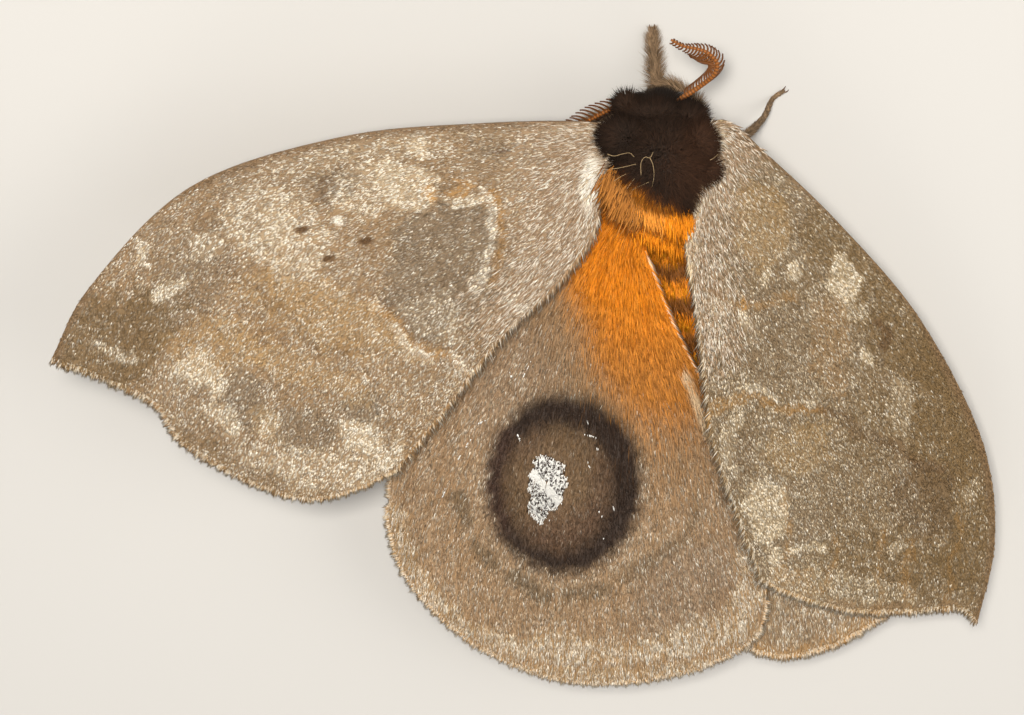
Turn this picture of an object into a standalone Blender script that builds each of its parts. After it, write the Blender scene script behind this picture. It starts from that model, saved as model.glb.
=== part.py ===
"""Automeris denticulata, a moth at rest with its wings half open, at life size.

Lengths are in millimetres in the driving values and in metres in the meshes.
X runs to the moth's right, Y towards its head and Z up, with the floor at 0.
The feet stand on the floor, and the origin lies under the middle of the whole.
Left and right are the moth's own, seen from above with its head away.
"""
import random
from math import cos, pi, radians, sin

import bmesh
import bpy
import numpy as np
from mathutils import Matrix, Vector
from mathutils.bvhtree import BVHTree

MM = 0.001
MIDDLE = (1.85, -1.385)     # the middle of the whole in plan, taken off every point
GAP = 0.32                  # kept between neighbouring nodes
SHEET = 0.52                # thickness of a wing
VEIN = 0.24                 # height of a main vein above the wing
VEIN_HALF = 0.55            # half its width at the foot
TOOTH = 0.008               # how far the margin draws back between two veins, of the wing's length

# Thorax: the core under the pile, and the locks that stand on it
THORAX = (12.3, 17.3, 7.0)
THORAX_HALF = (4.2, 4.5, 3.5)
THORAX_TUCK = 0.55          # how far the underside draws back behind the head
LOCKS = 78
LOCK_SIZE = (2.0, 3.1, 0.7)   # width, length and thickness
LOCK_SUNK = 0.55
LOCK_LIFT = 0.36            # slope of a lock at its root, off the core
LOCK_DROOP = 0.45           # how far its tip bends back towards the core
LOCK_TRIES = ((1, 0, 1), (0.8, 0.1, 0.9), (0.7, 0.35, 0.8), (0.6, 0.1, 0.8), (0.6, 0.7, 0.7),
              (0.45, 0.4, 0.6))     # share of the length, added slope and share of the width
LOWEST_LOCK = -0.3          # of the core's half height
CROWN = (0.0, 1.4)          # where the pile parts, from the thorax's middle

# Head, set low in front of the thorax
HEAD = (12.3, 21.5, 4.8)
HEAD_HALF = (2.1, 1.6, 1.9)
EYE_RADIUS = 1.0
EYE_OUT = (1.72, 0.25, -0.25)
PALP = ((0.6, 0.6, -0.9), (0.68, 0.95, -1.5), (0.6, 0.95, -2.15))
PALP_RADII = (0.42, 0.44, 0.26)

# Abdomen: its axis from the thorax to the tip, with half widths and half heights
ABDOMEN_AXIS = ((12.7, 14.8, 4.8), (13.5, 10.5, 4.7), (14.6, 6.0, 4.6), (15.9, 0.8, 4.4),
                (17.2, -4.6, 4.0), (18.2, -9.2, 3.6))
ABDOMEN_HALF_WIDTHS = (2.3, 3.3, 3.75, 3.6, 2.7, 0.9)
ABDOMEN_FLAT = 0.76         # height over width
SEGMENTS = 7
SEGMENT_STEP = 0.16

# Antennae: the shaft from the head to its tip, and the comb of rami on both sides
ANTENNA_LEFT = ((11.5, 21.9, 6.0), (10.6, 22.7, 6.4), (9.5, 22.8, 6.1), (8.1, 21.9, 5.7),
                (6.8, 21.1, 5.4), (5.4, 20.6, 5.1), (4.0, 20.2, 4.8), (2.7, 19.9, 4.5))
ANTENNA_RIGHT = ((13.2, 21.9, 6.0), (14.0, 22.8, 6.4), (15.4, 23.8, 6.5), (16.5, 24.9, 6.9),
                 (16.8, 25.9, 7.0), (16.1, 26.8, 7.0), (15.2, 27.15, 6.9), (14.0, 27.35, 6.7),
                 (13.0, 27.8, 6.4))
SHAFT_RADII = (0.34, 0.2)
RAMI = 11                   # on each side
RAMI_SPAN = (0.24, 0.95)    # the share of the shaft that carries them
RAMUS_LENGTH = 1.5
RAMUS_RADII = (0.24, 0.2, 0.09)
RAMUS_BEND = ((0.0, 0.0, 0.0), (0.5, 0.1, 0.1), (0.85, 0.35, 0.12), (1.0, 0.72, 0.08))

# Legs: from inside the thorax over the knee to the foot along the floor
LEG_RADII = (0.6, 0.64, 0.5, 0.38, 0.3, 0.3)
FORELEG_RADII = (0.6, 0.64, 0.6, 0.6, 0.52, 0.3)   # with the dense hair of the shin
LEG_RINGS = 18
FOOT_HEIGHT = 0.18          # of a foot's middle line: what is below the floor is pressed flat
LEGS = {
    "foreleg_left": ((11.0, 18.3, 4.5), (9.2, 19.9, 2.9), (7.3, 19.6, 2.4), (5.6, 18.0, 1.3),
                     (4.6, 16.6), (3.8, 15.4)),
    "foreleg_right": ((13.6, 18.3, 4.5), (15.3, 20.6, 1.9), (13.5, 22.2, 1.25), (12.2, 22.5, 1.1),
                      (11.9, 25.2), (11.75, 26.9)),
    "midleg_left": ((10.6, 17.5, 4.6), (7.2, 17.0, 4.2), (4.6, 14.6, 3.2), (2.4, 12.2, 1.3),
                    (1.4, 10.6), (0.7, 9.2)),
    "midleg_right": ((14.0, 17.5, 4.6), (17.4, 17.6, 4.5), (19.6, 18.6, 3.2), (21.2, 19.6, 1.5),
                     (22.0, 20.8), (22.9, 21.5)),
    "hindleg_left": ((9.5, 16.1, 4.9), (6.9, 12.3, 3.9), (5.8, 6.6, 3.2), (4.2, 0.8, 1.4),
                     (3.2, -2.6), (2.7, -4.8)),
    "hindleg_right": ((15.1, 16.1, 4.9), (18.5, 12.9, 3.8), (20.8, 7.4, 3.0), (23.0, 1.0, 1.3),
                      (24.0, -2.2), (24.4, -4.4)),
}

# Wings: front edge from hinge to apex, outer margin from apex to rear corner, rear edge from hinge
# to rear corner. The first point of both long edges lies inside the thorax, where the wing is cut.
WINGS = {
    "forewing_left": dict(
        front=((10.0, 19.9, 8.3), (7.0, 21.3, 8.5), (-2.6, 21.3, 8.8), (-14.1, 20.3, 9.4),
               (-26.4, 16.3, 10.2), (-35.0, 7.8, 10.8), (-38.6, 1.3, 11.0)),
        outer=((-38.6, 1.3, 11.0), (-33.9, -0.6, 11.0), (-29.9, -3.0, 10.9), (-28.2, -6.0, 10.8),
               (-24.0, -9.2, 10.5), (-19.0, -11.5, 10.3), (-15.0, -11.5, 10.1), (-10.0, -9.4, 9.7)),
        rear=((9.6, 16.4, 8.3), (7.5, 15.6, 9.1), (6.6, 12.0, 9.7), (3.6, 7.7, 10.0),
              (-1.0, 3.0, 10.0), (-5.2, -2.9, 9.9), (-10.0, -9.4, 9.7)),
        camber=0.5),
    "forewing_right": dict(
        front=((14.6, 19.9, 8.3), (17.4, 21.5, 8.5), (21.3, 18.1, 7.8), (27.4, 11.9, 6.9),
               (34.7, 3.0, 6.0), (40.7, -8.5, 5.1), (42.4, -18.0, 5.0), (41.3, -26.2, 5.2)),
        outer=((41.3, -26.2, 5.2), (39.6, -24.7, 5.4), (35.5, -24.7, 5.9), (30.6, -24.3, 6.7),
               (25.6, -22.6, 7.6), (21.9, -20.4, 8.4)),
        rear=((15.0, 16.4, 8.3), (15.1, 14.5, 8.8), (14.6, 11.3, 9.0), (15.4, 6.0, 9.0),
              (16.4, -1.2, 9.0), (17.2, -6.8, 9.0), (19.2, -13.0, 8.8), (21.9, -20.4, 8.4)),
        camber=0.6),
    "hindwing_left": dict(
        front=((9.4, 15.6, 7.6), (6.5, 15.5, 7.8), (1.0, 11.5, 8.0), (-5.0, 3.5, 7.9),
               (-9.3, -5.0, 7.6), (-10.4, -11.0, 7.4)),
        outer=((-10.4, -11.0, 7.4), (-10.6, -16.1, 7.2), (-8.8, -21.5, 7.0), (-3.3, -27.5, 6.8),
               (4.3, -31.0, 6.8), (11.4, -31.1, 6.8), (17.5, -29.4, 6.9), (21.4, -26.6, 7.1),
               (22.3, -23.0, 7.3)),
        rear=((11.4, 13.4, 7.9), (11.0, 10.9, 8.3), (11.6, 8.6, 8.4), (13.7, 3.1, 8.2),
              (16.6, -3.0, 7.9), (18.2, -8.1, 7.8), (20.1, -13.9, 7.7), (21.9, -19.4, 7.5),
              (22.3, -23.0, 7.3)),
        camber=0.3, dome=(3.8, -11.8, 6.5, 0.6)),
    "hindwing_right": dict(
        front=((15.4, 16.6, 7.0), (19.5, 14.5, 6.8), (25.0, 8.5, 6.0), (29.5, 0.5, 5.3),
               (32.8, -8.0, 4.9), (34.3, -17.0, 4.9), (33.8, -24.6, 5.1)),
        outer=((33.8, -24.6, 5.1), (31.7, -26.4, 5.3), (28.2, -28.4, 5.5), (23.8, -29.3, 5.6),
               (18.9, -27.6, 5.6)),
        rear=((15.4, 14.6, 6.9), (17.6, 12.6, 6.6), (19.3, 8.0, 6.2), (20.4, 2.0, 5.8),
              (20.7, -4.0, 5.7), (20.2, -10.0, 5.6), (18.9, -16.0, 5.6), (18.3, -22.0, 5.6),
              (18.9, -27.6, 5.6)),
        camber=0.2),
}
# Main veins, as shares of the wing's breadth from front to rear: at the hinge, at the margin, and
# the share of the length at which the vein leaves the cell.
FOREWING_VEINS = ((0.10, 0.035, 0.0), (0.17, 0.17, 0.45), (0.36, 0.32, 0.45), (0.52, 0.46, 0.45),
                  (0.58, 0.61, 0.0), (0.64, 0.77, 0.35), (0.86, 0.93, 0.0))
HINDWING_VEINS = ((0.12, 0.06, 0.0), (0.24, 0.22, 0.35), (0.38, 0.38, 0.4), (0.48, 0.53, 0.4),
                  (0.56, 0.67, 0.0), (0.64, 0.81, 0.35), (0.86, 0.94, 0.0))
WING_ROWS = 11

COLOURS = {
    "head": (0.06, 0.035, 0.02), "thorax": (0.035, 0.02, 0.012), "abdomen": (0.62, 0.24, 0.05),
    "eye": (0.02, 0.012, 0.01), "antenna": (0.42, 0.18, 0.06), "palp": (0.16, 0.11, 0.07),
    "forewing": (0.36, 0.29, 0.21), "hindwing": (0.34, 0.24, 0.15), "foreleg": (0.22, 0.18, 0.14),
    "midleg": (0.22, 0.18, 0.14), "hindleg": (0.22, 0.18, 0.14),
}


def clear_scene():
    for thing in list(bpy.data.objects):
        bpy.data.objects.remove(thing)


def metres(point):
    return Vector(((point[0] - MIDDLE[0]) * MM, (point[1] - MIDDLE[1]) * MM, point[2] * MM))


def through(points, count):
    """Points at even steps along the smooth curve through the given ones."""
    p = np.array(points, float)
    p = np.vstack((2 * p[0] - p[1], p, 2 * p[-1] - p[-2]))
    t = np.linspace(0, 1, 12, endpoint=False)[:, None]
    spans = [b + 0.5 * ((c - a) * t + (2 * a - 5 * b + 4 * c - d) * t ** 2 + (3 * b - a - 3 * c + d) * t ** 3)
             for a, b, c, d in zip(p, p[1:], p[2:], p[3:])]
    fine = np.vstack(spans + [p[-2:-1]])
    run = np.concatenate(([0], np.cumsum(np.linalg.norm(np.diff(fine, axis=0), axis=1))))
    steps = np.linspace(0, run[-1], count)
    return np.column_stack([np.interp(steps, run, column) for column in fine.T])


def ease(x):
    x = np.clip(x, 0, 1)
    return x * x * (3 - 2 * x)


def new_object(name, mesh):
    thing = bpy.data.objects.new(name, mesh)
    bpy.context.scene.collection.objects.link(thing)
    return thing


def baked(thing):
    """The thing's mesh with its modifiers applied, in place."""
    graph = bpy.context.evaluated_depsgraph_get()
    mesh = bpy.data.meshes.new_from_object(thing.evaluated_get(graph))
    if thing.type != "MESH":
        name = thing.name
        bpy.data.objects.remove(thing)
        return new_object(name, mesh)
    thing.modifiers.clear()
    thing.data = mesh
    return thing


def rod(name, points, radii, rings, resolution=2):
    """A round rod along the points, its radius eased between the given ones."""
    curve = bpy.data.curves.new(name, "CURVE")
    curve.dimensions = "3D"
    curve.bevel_depth = MM
    curve.bevel_resolution = resolution
    curve.use_fill_caps = True
    spline = curve.splines.new("POLY")
    spline.points.add(rings - 1)
    path = through(points, rings)
    widths = np.interp(np.linspace(0, 1, rings), np.linspace(0, 1, len(radii)), radii)
    for knot, point, radius in zip(spline.points, path, widths):
        knot.co = (*metres(point), 1)
        knot.radius = radius
    solid = baked(new_object(name, curve))
    cage = bmesh.new()
    cage.from_mesh(solid.data)
    bmesh.ops.remove_doubles(cage, verts=cage.verts, dist=0.000001)
    bmesh.ops.recalc_face_normals(cage, faces=cage.faces)
    bmesh.ops.triangulate(cage, faces=cage.faces)
    cage.to_mesh(solid.data)
    cage.free()
    return solid


def ball(name, centre, half, segments=24, rings=14):
    """An ellipsoid of the given half sizes."""
    bpy.ops.mesh.primitive_uv_sphere_add(segments=segments, ring_count=rings, radius=MM)
    thing = bpy.context.object
    thing.name = name
    cage = bmesh.new()
    cage.from_mesh(thing.data)
    bmesh.ops.triangulate(cage, faces=cage.faces)
    cage.transform(Matrix.Translation(metres(centre)) @ Matrix.Diagonal((*half, 1)))
    cage.to_mesh(thing.data)
    cage.free()
    return thing


def keep_largest(thing):
    """Only the largest closed surface of the thing."""
    cage = bmesh.new()
    cage.from_mesh(thing.data)
    left = set(cage.faces)
    best = []
    while left:
        island, front = [], [left.pop()]
        while front:
            face = front.pop()
            island.append(face)
            for edge in face.edges:
                for other in edge.link_faces:
                    if other in left:
                        left.remove(other)
                        front.append(other)
        if sum(f.calc_area() for f in island) > sum(f.calc_area() for f in best):
            best = island
    kept = set(best)
    bmesh.ops.delete(cage, geom=[f for f in cage.faces if f not in kept], context="FACES")
    cage.to_mesh(thing.data)
    cage.free()


def combine(thing, pieces, operation):
    """One Boolean of the thing with all the pieces, which are then removed."""
    group = bpy.data.collections.new("cutters")
    bpy.context.scene.collection.children.link(group)
    for piece in pieces:
        group.objects.link(piece)
        piece.hide_render = True
        piece.display_type = "WIRE"
    boolean = thing.modifiers.new("joined", "BOOLEAN")
    boolean.operation = operation
    boolean.operand_type = "COLLECTION"
    boolean.collection = group
    boolean.solver = "MANIFOLD"
    baked(thing)
    for piece in pieces:
        bpy.data.objects.remove(piece)
    bpy.data.collections.remove(group)
    keep_largest(thing)


def grown(thing, by):
    """A copy of the thing with its surface moved out by so many millimetres."""
    copy = new_object(thing.name + "_grown", thing.data.copy())
    cage = bmesh.new()
    cage.from_mesh(copy.data)
    bmesh.ops.triangulate(cage, faces=cage.faces)
    cage.normal_update()
    for vertex, normal in [(v, v.normal.copy()) for v in cage.verts]:
        vertex.co += normal * by * MM
    cage.to_mesh(copy.data)
    cage.free()
    return copy


def tucked(point):
    """A point of the thorax's ellipsoid, drawn back where it lies below and ahead of the middle."""
    across, ahead, above = (p - c for p, c in zip(point, THORAX))
    if above < 0 < ahead:
        ahead *= 1 + THORAX_TUCK * above / THORAX_HALF[2]
    return Vector((THORAX[0] + across, THORAX[1] + ahead, THORAX[2] + above))


def thorax_core():
    """An ellipsoid whose underside draws back behind the head."""
    core = ball("thorax", THORAX, THORAX_HALF)
    for vertex in core.data.vertices:
        spot = (vertex.co.x / MM + MIDDLE[0], vertex.co.y / MM + MIDDLE[1], vertex.co.z / MM)
        vertex.co = metres(tucked(spot))
    return core


def surface(thing):
    """What is needed to test a thing's surface for crossings."""
    mesh = thing.data
    return BVHTree.FromPolygons([v.co for v in mesh.vertices], [f.vertices[:] for f in mesh.polygons])


def lock(frame, length, lift, breadth):
    """One flat, tapered lock along the frame's Y, sunk at its root and bent down towards its tip."""
    width, _, thick = LOCK_SIZE
    stations = [(MIDDLE[0], MIDDLE[1] + length * k / 4, 0) for k in range(5)]
    thing = rod("lock", stations, [width * breadth * k for k in (0.3, 0.48, 0.5, 0.34, 0.08)], 5, 0)
    for vertex in thing.data.vertices:
        along = vertex.co.y / MM / length
        bend = lift * along * length - LOCK_DROOP * along ** 2
        vertex.co.z = vertex.co.z * thick / (width * breadth) + bend * MM
    thing.data.transform(frame)
    return thing


def pile(neighbours, seed=4):
    """The thorax's coat: locks spread evenly over the core, lying away from the crown.

    A lock that would come too near a neighbour is made shorter or steeper, or else left out.
    """
    draw = random.Random(seed)
    walls = [surface(thing) for thing in neighbours]
    locks = []
    for k in range(LOCKS):
        level = 1 - (1 - LOWEST_LOCK) * (k + 0.5) / LOCKS
        turn = k * pi * (3 - 5 ** 0.5)
        ring = (1 - level * level) ** 0.5
        out = Vector((ring * cos(turn), ring * sin(turn), level))
        root = tucked([c + h * o for c, h, o in zip(THORAX, THORAX_HALF, out)])
        normal = Vector([o / h for o, h in zip(out, THORAX_HALF)]).normalized()
        lie = root - Vector((THORAX[0] + CROWN[0], THORAX[1] + CROWN[1], THORAX[2] + THORAX_HALF[2]))
        lie = (lie - normal * lie.dot(normal)).normalized()
        frame = Matrix((lie.cross(normal), lie, normal)).transposed().to_4x4()
        frame = Matrix.Translation(metres(root - normal * LOCK_SUNK)) @ frame
        frame = frame @ Matrix.Rotation(draw.uniform(-0.25, 0.25), 4, "Z")
        length, breadth = LOCK_SIZE[1] * draw.uniform(0.88, 1.1), draw.uniform(0.9, 1.1)
        for share, steeper, narrower in LOCK_TRIES:
            thing = lock(frame, length * share, LOCK_LIFT + steeper, breadth * narrower)
            room = grown(thing, GAP)
            crossed = any(surface(room).overlap(wall) for wall in walls)
            bpy.data.objects.remove(room)
            if not crossed:
                locks.append(thing)
                break
            bpy.data.objects.remove(thing)
    return locks


def antenna(name, points, rise):
    """A shaft with a row of rami on both sides, bent to its tip and raised or let down by a slope."""
    shaft = rod(name, points, SHAFT_RADII, 16, 1)
    reach = [(MIDDLE[0] + x * RAMUS_LENGTH, MIDDLE[1] + y * RAMUS_LENGTH, z * RAMUS_LENGTH)
             for x, y, z in RAMUS_BEND]
    pattern = rod("ramus", reach, RAMUS_RADII, 4, 0)
    path = through(points, 101)
    rami = []
    for k in range(RAMI):
        share = RAMI_SPAN[0] + (RAMI_SPAN[1] - RAMI_SPAN[0]) * k / (RAMI - 1)
        spot = round(share * 100)
        tip_ward = Vector(path[min(spot + 2, 100)] - path[spot - 2]).normalized()
        length = 0.62 + 0.38 * sin(pi * min(1, 0.15 + k / (RAMI - 1)) ** 0.8)
        for side in (-1, 1):
            out = tip_ward.cross(Vector((0, 0, 1))).normalized() * side + Vector((0, 0, rise))
            out = (out - tip_ward * out.dot(tip_ward)).normalized()
            frame = Matrix((out, tip_ward, out.cross(tip_ward) * side)).transposed().to_4x4()
            ramus = new_object("ramus", pattern.data.copy())
            ramus.data.transform(Matrix.Translation(metres(path[spot])) @ frame @ Matrix.Scale(length, 4))
            if side < 0:
                ramus.data.flip_normals()
            rami.append(ramus)
    bpy.data.objects.remove(pattern)
    combine(shaft, rami, "UNION")
    return shaft


def abdomen():
    """A tapering rod, stepped at its segments and flattened about its axis."""
    rings = 3 * SEGMENTS + 3
    path = through(ABDOMEN_AXIS, rings)
    share = np.linspace(0, 1, len(ABDOMEN_HALF_WIDTHS))
    widths = np.interp(np.linspace(0, 1, rings), share, ABDOMEN_HALF_WIDTHS)
    widths = [w * (1 + 0.06 * sin(pi * k / (rings - 1))) - SEGMENT_STEP * (k % 3 == 2)
              for k, w in enumerate(widths)]
    form = rod("abdomen", [(x, y, 0) for x, y, z in path], widths, rings, resolution=6)
    heights = path[::-1, 1], path[::-1, 2]
    for vertex in form.data.vertices:
        y = vertex.co.y / MM + MIDDLE[1]
        vertex.co.z = vertex.co.z * ABDOMEN_FLAT + float(np.interp(y, *heights)) * MM
    return form


def leg(name, points):
    """A leg along its points, with whatever would sink below the floor pressed flat on it."""
    points = [p if len(p) == 3 else (*p, FOOT_HEIGHT) for p in points]
    form = rod(name, points, FORELEG_RADII if name.startswith("fore") else LEG_RADII, LEG_RINGS)
    for vertex in form.data.vertices:
        vertex.co.z = max(vertex.co.z, 0)
    return form


def wing_lines(veins, breadth):
    """For each row of a wing, the breadth shares of the lines along it and their ridge heights.

    A vein takes three lines, its crest and a foot on both sides, and there is one line midway to
    the next vein. The breadth of each row is in millimetres.
    """
    u = np.linspace(0, 1, len(breadth))
    flow = ease(u)[:, None]
    crest = np.array([v[0] for v in veins]) * (1 - flow) + np.array([v[1] for v in veins]) * flow
    spans = np.diff(np.column_stack((0 * u, crest, 0 * u + 1)))
    foot = np.minimum(VEIN_HALF / breadth[:, None], np.minimum(spans[:, :-1], spans[:, 1:]) * 0.36)
    height = VEIN * np.minimum(1, foot * breadth[:, None] / VEIN_HALF + 0.4)
    lines, heights, before = [0 * u], [0 * u], 0 * u
    for k, (_, _, start) in enumerate(veins):
        near, far = crest[:, k] - foot[:, k], crest[:, k] + foot[:, k]
        raised = height[:, k] * (ease((u - start) / 0.12) if start else 1)
        lines += [(before + near) / 2, near, crest[:, k], far]
        heights += [0 * u, 0 * u, raised, 0 * u]
        before = far
    return np.column_stack(lines + [(before + 1) / 2, 0 * u + 1]), np.column_stack(heights + [0 * u, 0 * u])


def wing_sheet(sizes, u, v):
    """The middle of a wing between its edges, at shares u of its length and v of its breadth."""
    front, outer, rear = (through(sizes[edge], 160) for edge in ("front", "outer", "rear"))
    hinge = np.linspace(front[0], rear[0], 160)

    def along(edge, share):
        return np.stack([np.interp(share, np.linspace(0, 1, 160), column) for column in edge.T], axis=-1)

    s, w = u[..., None], v[..., None]
    sheet = (1 - w) * along(front, u) + w * along(rear, u) + (1 - s) * along(hinge, v) + s * along(outer, v)
    sheet -= (1 - s) * ((1 - w) * front[0] + w * rear[0]) + s * ((1 - w) * front[-1] + w * rear[-1])
    sheet[..., 2] += sizes["camber"] * np.sin(pi * v) * np.sin(pi * u)
    if "dome" in sizes:
        x, y, radius, rise = sizes["dome"]
        sheet[..., 2] += rise * ease(1 - np.hypot(sheet[..., 0] - x, sheet[..., 1] - y) / radius)
    return sheet


def slab(name, sheet, thickness):
    """A closed sheet of even thickness under a grid of points, split alike on both faces."""
    cage = bmesh.new()
    grid = [[cage.verts.new(metres(point)) for point in row] for row in sheet]
    for row, after in zip(grid, grid[1:]):
        for a, b, c, d in zip(row, row[1:], after[1:], after):
            cage.faces.new((a, b, c, d))
    bmesh.ops.triangulate(cage, faces=cage.faces, quad_method="FIXED")
    if sum(face.normal.z for face in cage.faces) < 0:
        bmesh.ops.reverse_faces(cage, faces=cage.faces)
    mesh = bpy.data.meshes.new(name)
    cage.to_mesh(mesh)
    cage.free()
    thing = new_object(name, mesh)
    shell = thing.modifiers.new("thickness", "SOLIDIFY")
    shell.thickness = thickness * MM
    shell.offset = -1
    return baked(thing)


def wing(name, sizes):
    """A curved sheet with its main veins raised and its margin toothed between them."""
    edges = [through(sizes[edge], WING_ROWS) for edge in ("front", "rear")]
    veins = FOREWING_VEINS if name.startswith("forewing") else HINDWING_VEINS
    v, ridges = wing_lines(veins, np.linalg.norm(edges[0] - edges[1], axis=1))
    u = np.repeat(np.linspace(0, 1, WING_ROWS)[:, None], v.shape[1], axis=1)
    u[-1, 1::4] -= TOOTH
    sheet = wing_sheet(sizes, u, v)
    sheet[..., 2] += ridges
    return slab(name, sheet, SHEET)


def finish(nodes):
    """Name the collection, shade the forms and give each node a material of its own."""
    home = bpy.data.collections.new("automeris_denticulata")
    bpy.context.scene.collection.children.link(home)
    for thing in nodes:
        for collection in list(thing.users_collection):
            collection.objects.unlink(thing)
        home.objects.link(thing)
        colour = COLOURS[thing.name.split("_")[0]]
        material = bpy.data.materials.new(thing.name)
        material.use_nodes = True
        shader = material.node_tree.nodes["Principled BSDF"]
        shader.inputs["Base Color"].default_value = (*colour, 1)
        shader.inputs["Roughness"].default_value = 0.2 if thing.name.startswith("eye") else 0.85
        shader.inputs["Metallic"].default_value = 0.0
        thing.data.materials.clear()
        thing.data.materials.append(material)
        thing.data.shade_smooth()
        thing.data.set_sharp_from_angle(angle=radians(40))


def build():
    clear_scene()
    thorax = thorax_core()
    head = ball("head", HEAD, HEAD_HALF, 20, 12)
    combine(head, [grown(thorax, GAP)], "DIFFERENCE")
    eyes = []
    for side, name in ((-1, "eye_left"), (1, "eye_right")):
        centre = (HEAD[0] + side * EYE_OUT[0], HEAD[1] + EYE_OUT[1], HEAD[2] + EYE_OUT[2])
        eyes.append(ball(name, centre, (EYE_RADIUS,) * 3, 12, 8))
    combine(head, [grown(eye, GAP) for eye in eyes], "DIFFERENCE")
    palps = []
    for side, name in ((-1, "palp_left"), (1, "palp_right")):
        points = [(HEAD[0] + side * x, HEAD[1] + y, HEAD[2] + z) for x, y, z in PALP]
        palps.append(rod(name, points, PALP_RADII, 5, 1))
    feelers = [antenna("antenna_left", ANTENNA_LEFT, 0.5), antenna("antenna_right", ANTENNA_RIGHT, -0.7)]
    for thing in palps + feelers:
        combine(thing, [grown(head, GAP)], "DIFFERENCE")
    belly = abdomen()
    legs = [leg(name, points) for name, points in LEGS.items()]
    wings = [wing(name, sizes) for name, sizes in WINGS.items()]
    for thing in [belly] + legs + wings:
        combine(thing, [grown(thorax, GAP)], "DIFFERENCE")
    combine(thorax, pile([head, belly] + eyes + palps + feelers + legs + wings), "UNION")
    finish([thorax, head, belly] + eyes + palps + feelers + legs + wings)


build()
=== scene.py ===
"""Looks of Automeris denticulata, a moth at rest with its wings half open, at life size.

Lengths are in millimetres in the named values and in metres in the meshes, and places are the
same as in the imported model: X to the moth's right, Y towards its head, Z up, the floor at 0.
Markings are painted by functions, and are placed in the photograph's own picture, in pixels.
"""

from math import cos, pi, radians, sin

import bmesh
import bpy
import numpy as np
from mathutils import Matrix, Vector


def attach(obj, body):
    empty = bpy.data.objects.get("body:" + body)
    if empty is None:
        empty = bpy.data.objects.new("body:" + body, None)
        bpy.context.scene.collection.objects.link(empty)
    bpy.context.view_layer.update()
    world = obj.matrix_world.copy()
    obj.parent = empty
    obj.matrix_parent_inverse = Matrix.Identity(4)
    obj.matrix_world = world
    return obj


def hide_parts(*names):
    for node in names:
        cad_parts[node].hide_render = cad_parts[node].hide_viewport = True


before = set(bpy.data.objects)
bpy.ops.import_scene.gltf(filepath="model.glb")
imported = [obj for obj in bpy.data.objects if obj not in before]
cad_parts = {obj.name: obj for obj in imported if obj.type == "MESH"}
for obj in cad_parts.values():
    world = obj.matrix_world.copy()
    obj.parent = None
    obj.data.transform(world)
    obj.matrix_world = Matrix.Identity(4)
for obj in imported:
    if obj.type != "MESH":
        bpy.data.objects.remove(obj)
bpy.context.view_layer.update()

MM = 0.001
MIDDLE = (1.85, -1.385)      # the model's middle in plan, taken off every point

# The camera: focal length in pixels, size of a pixel at the place looked at, and tilt to the head
PICTURE = (1024, 715)
FOCAL = 3100.0
PIXEL = 0.085
TILT = radians(22)
LOOKED_AT = np.array((0.0, 0.0, 7.0))
SENSOR = 36.0

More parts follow.
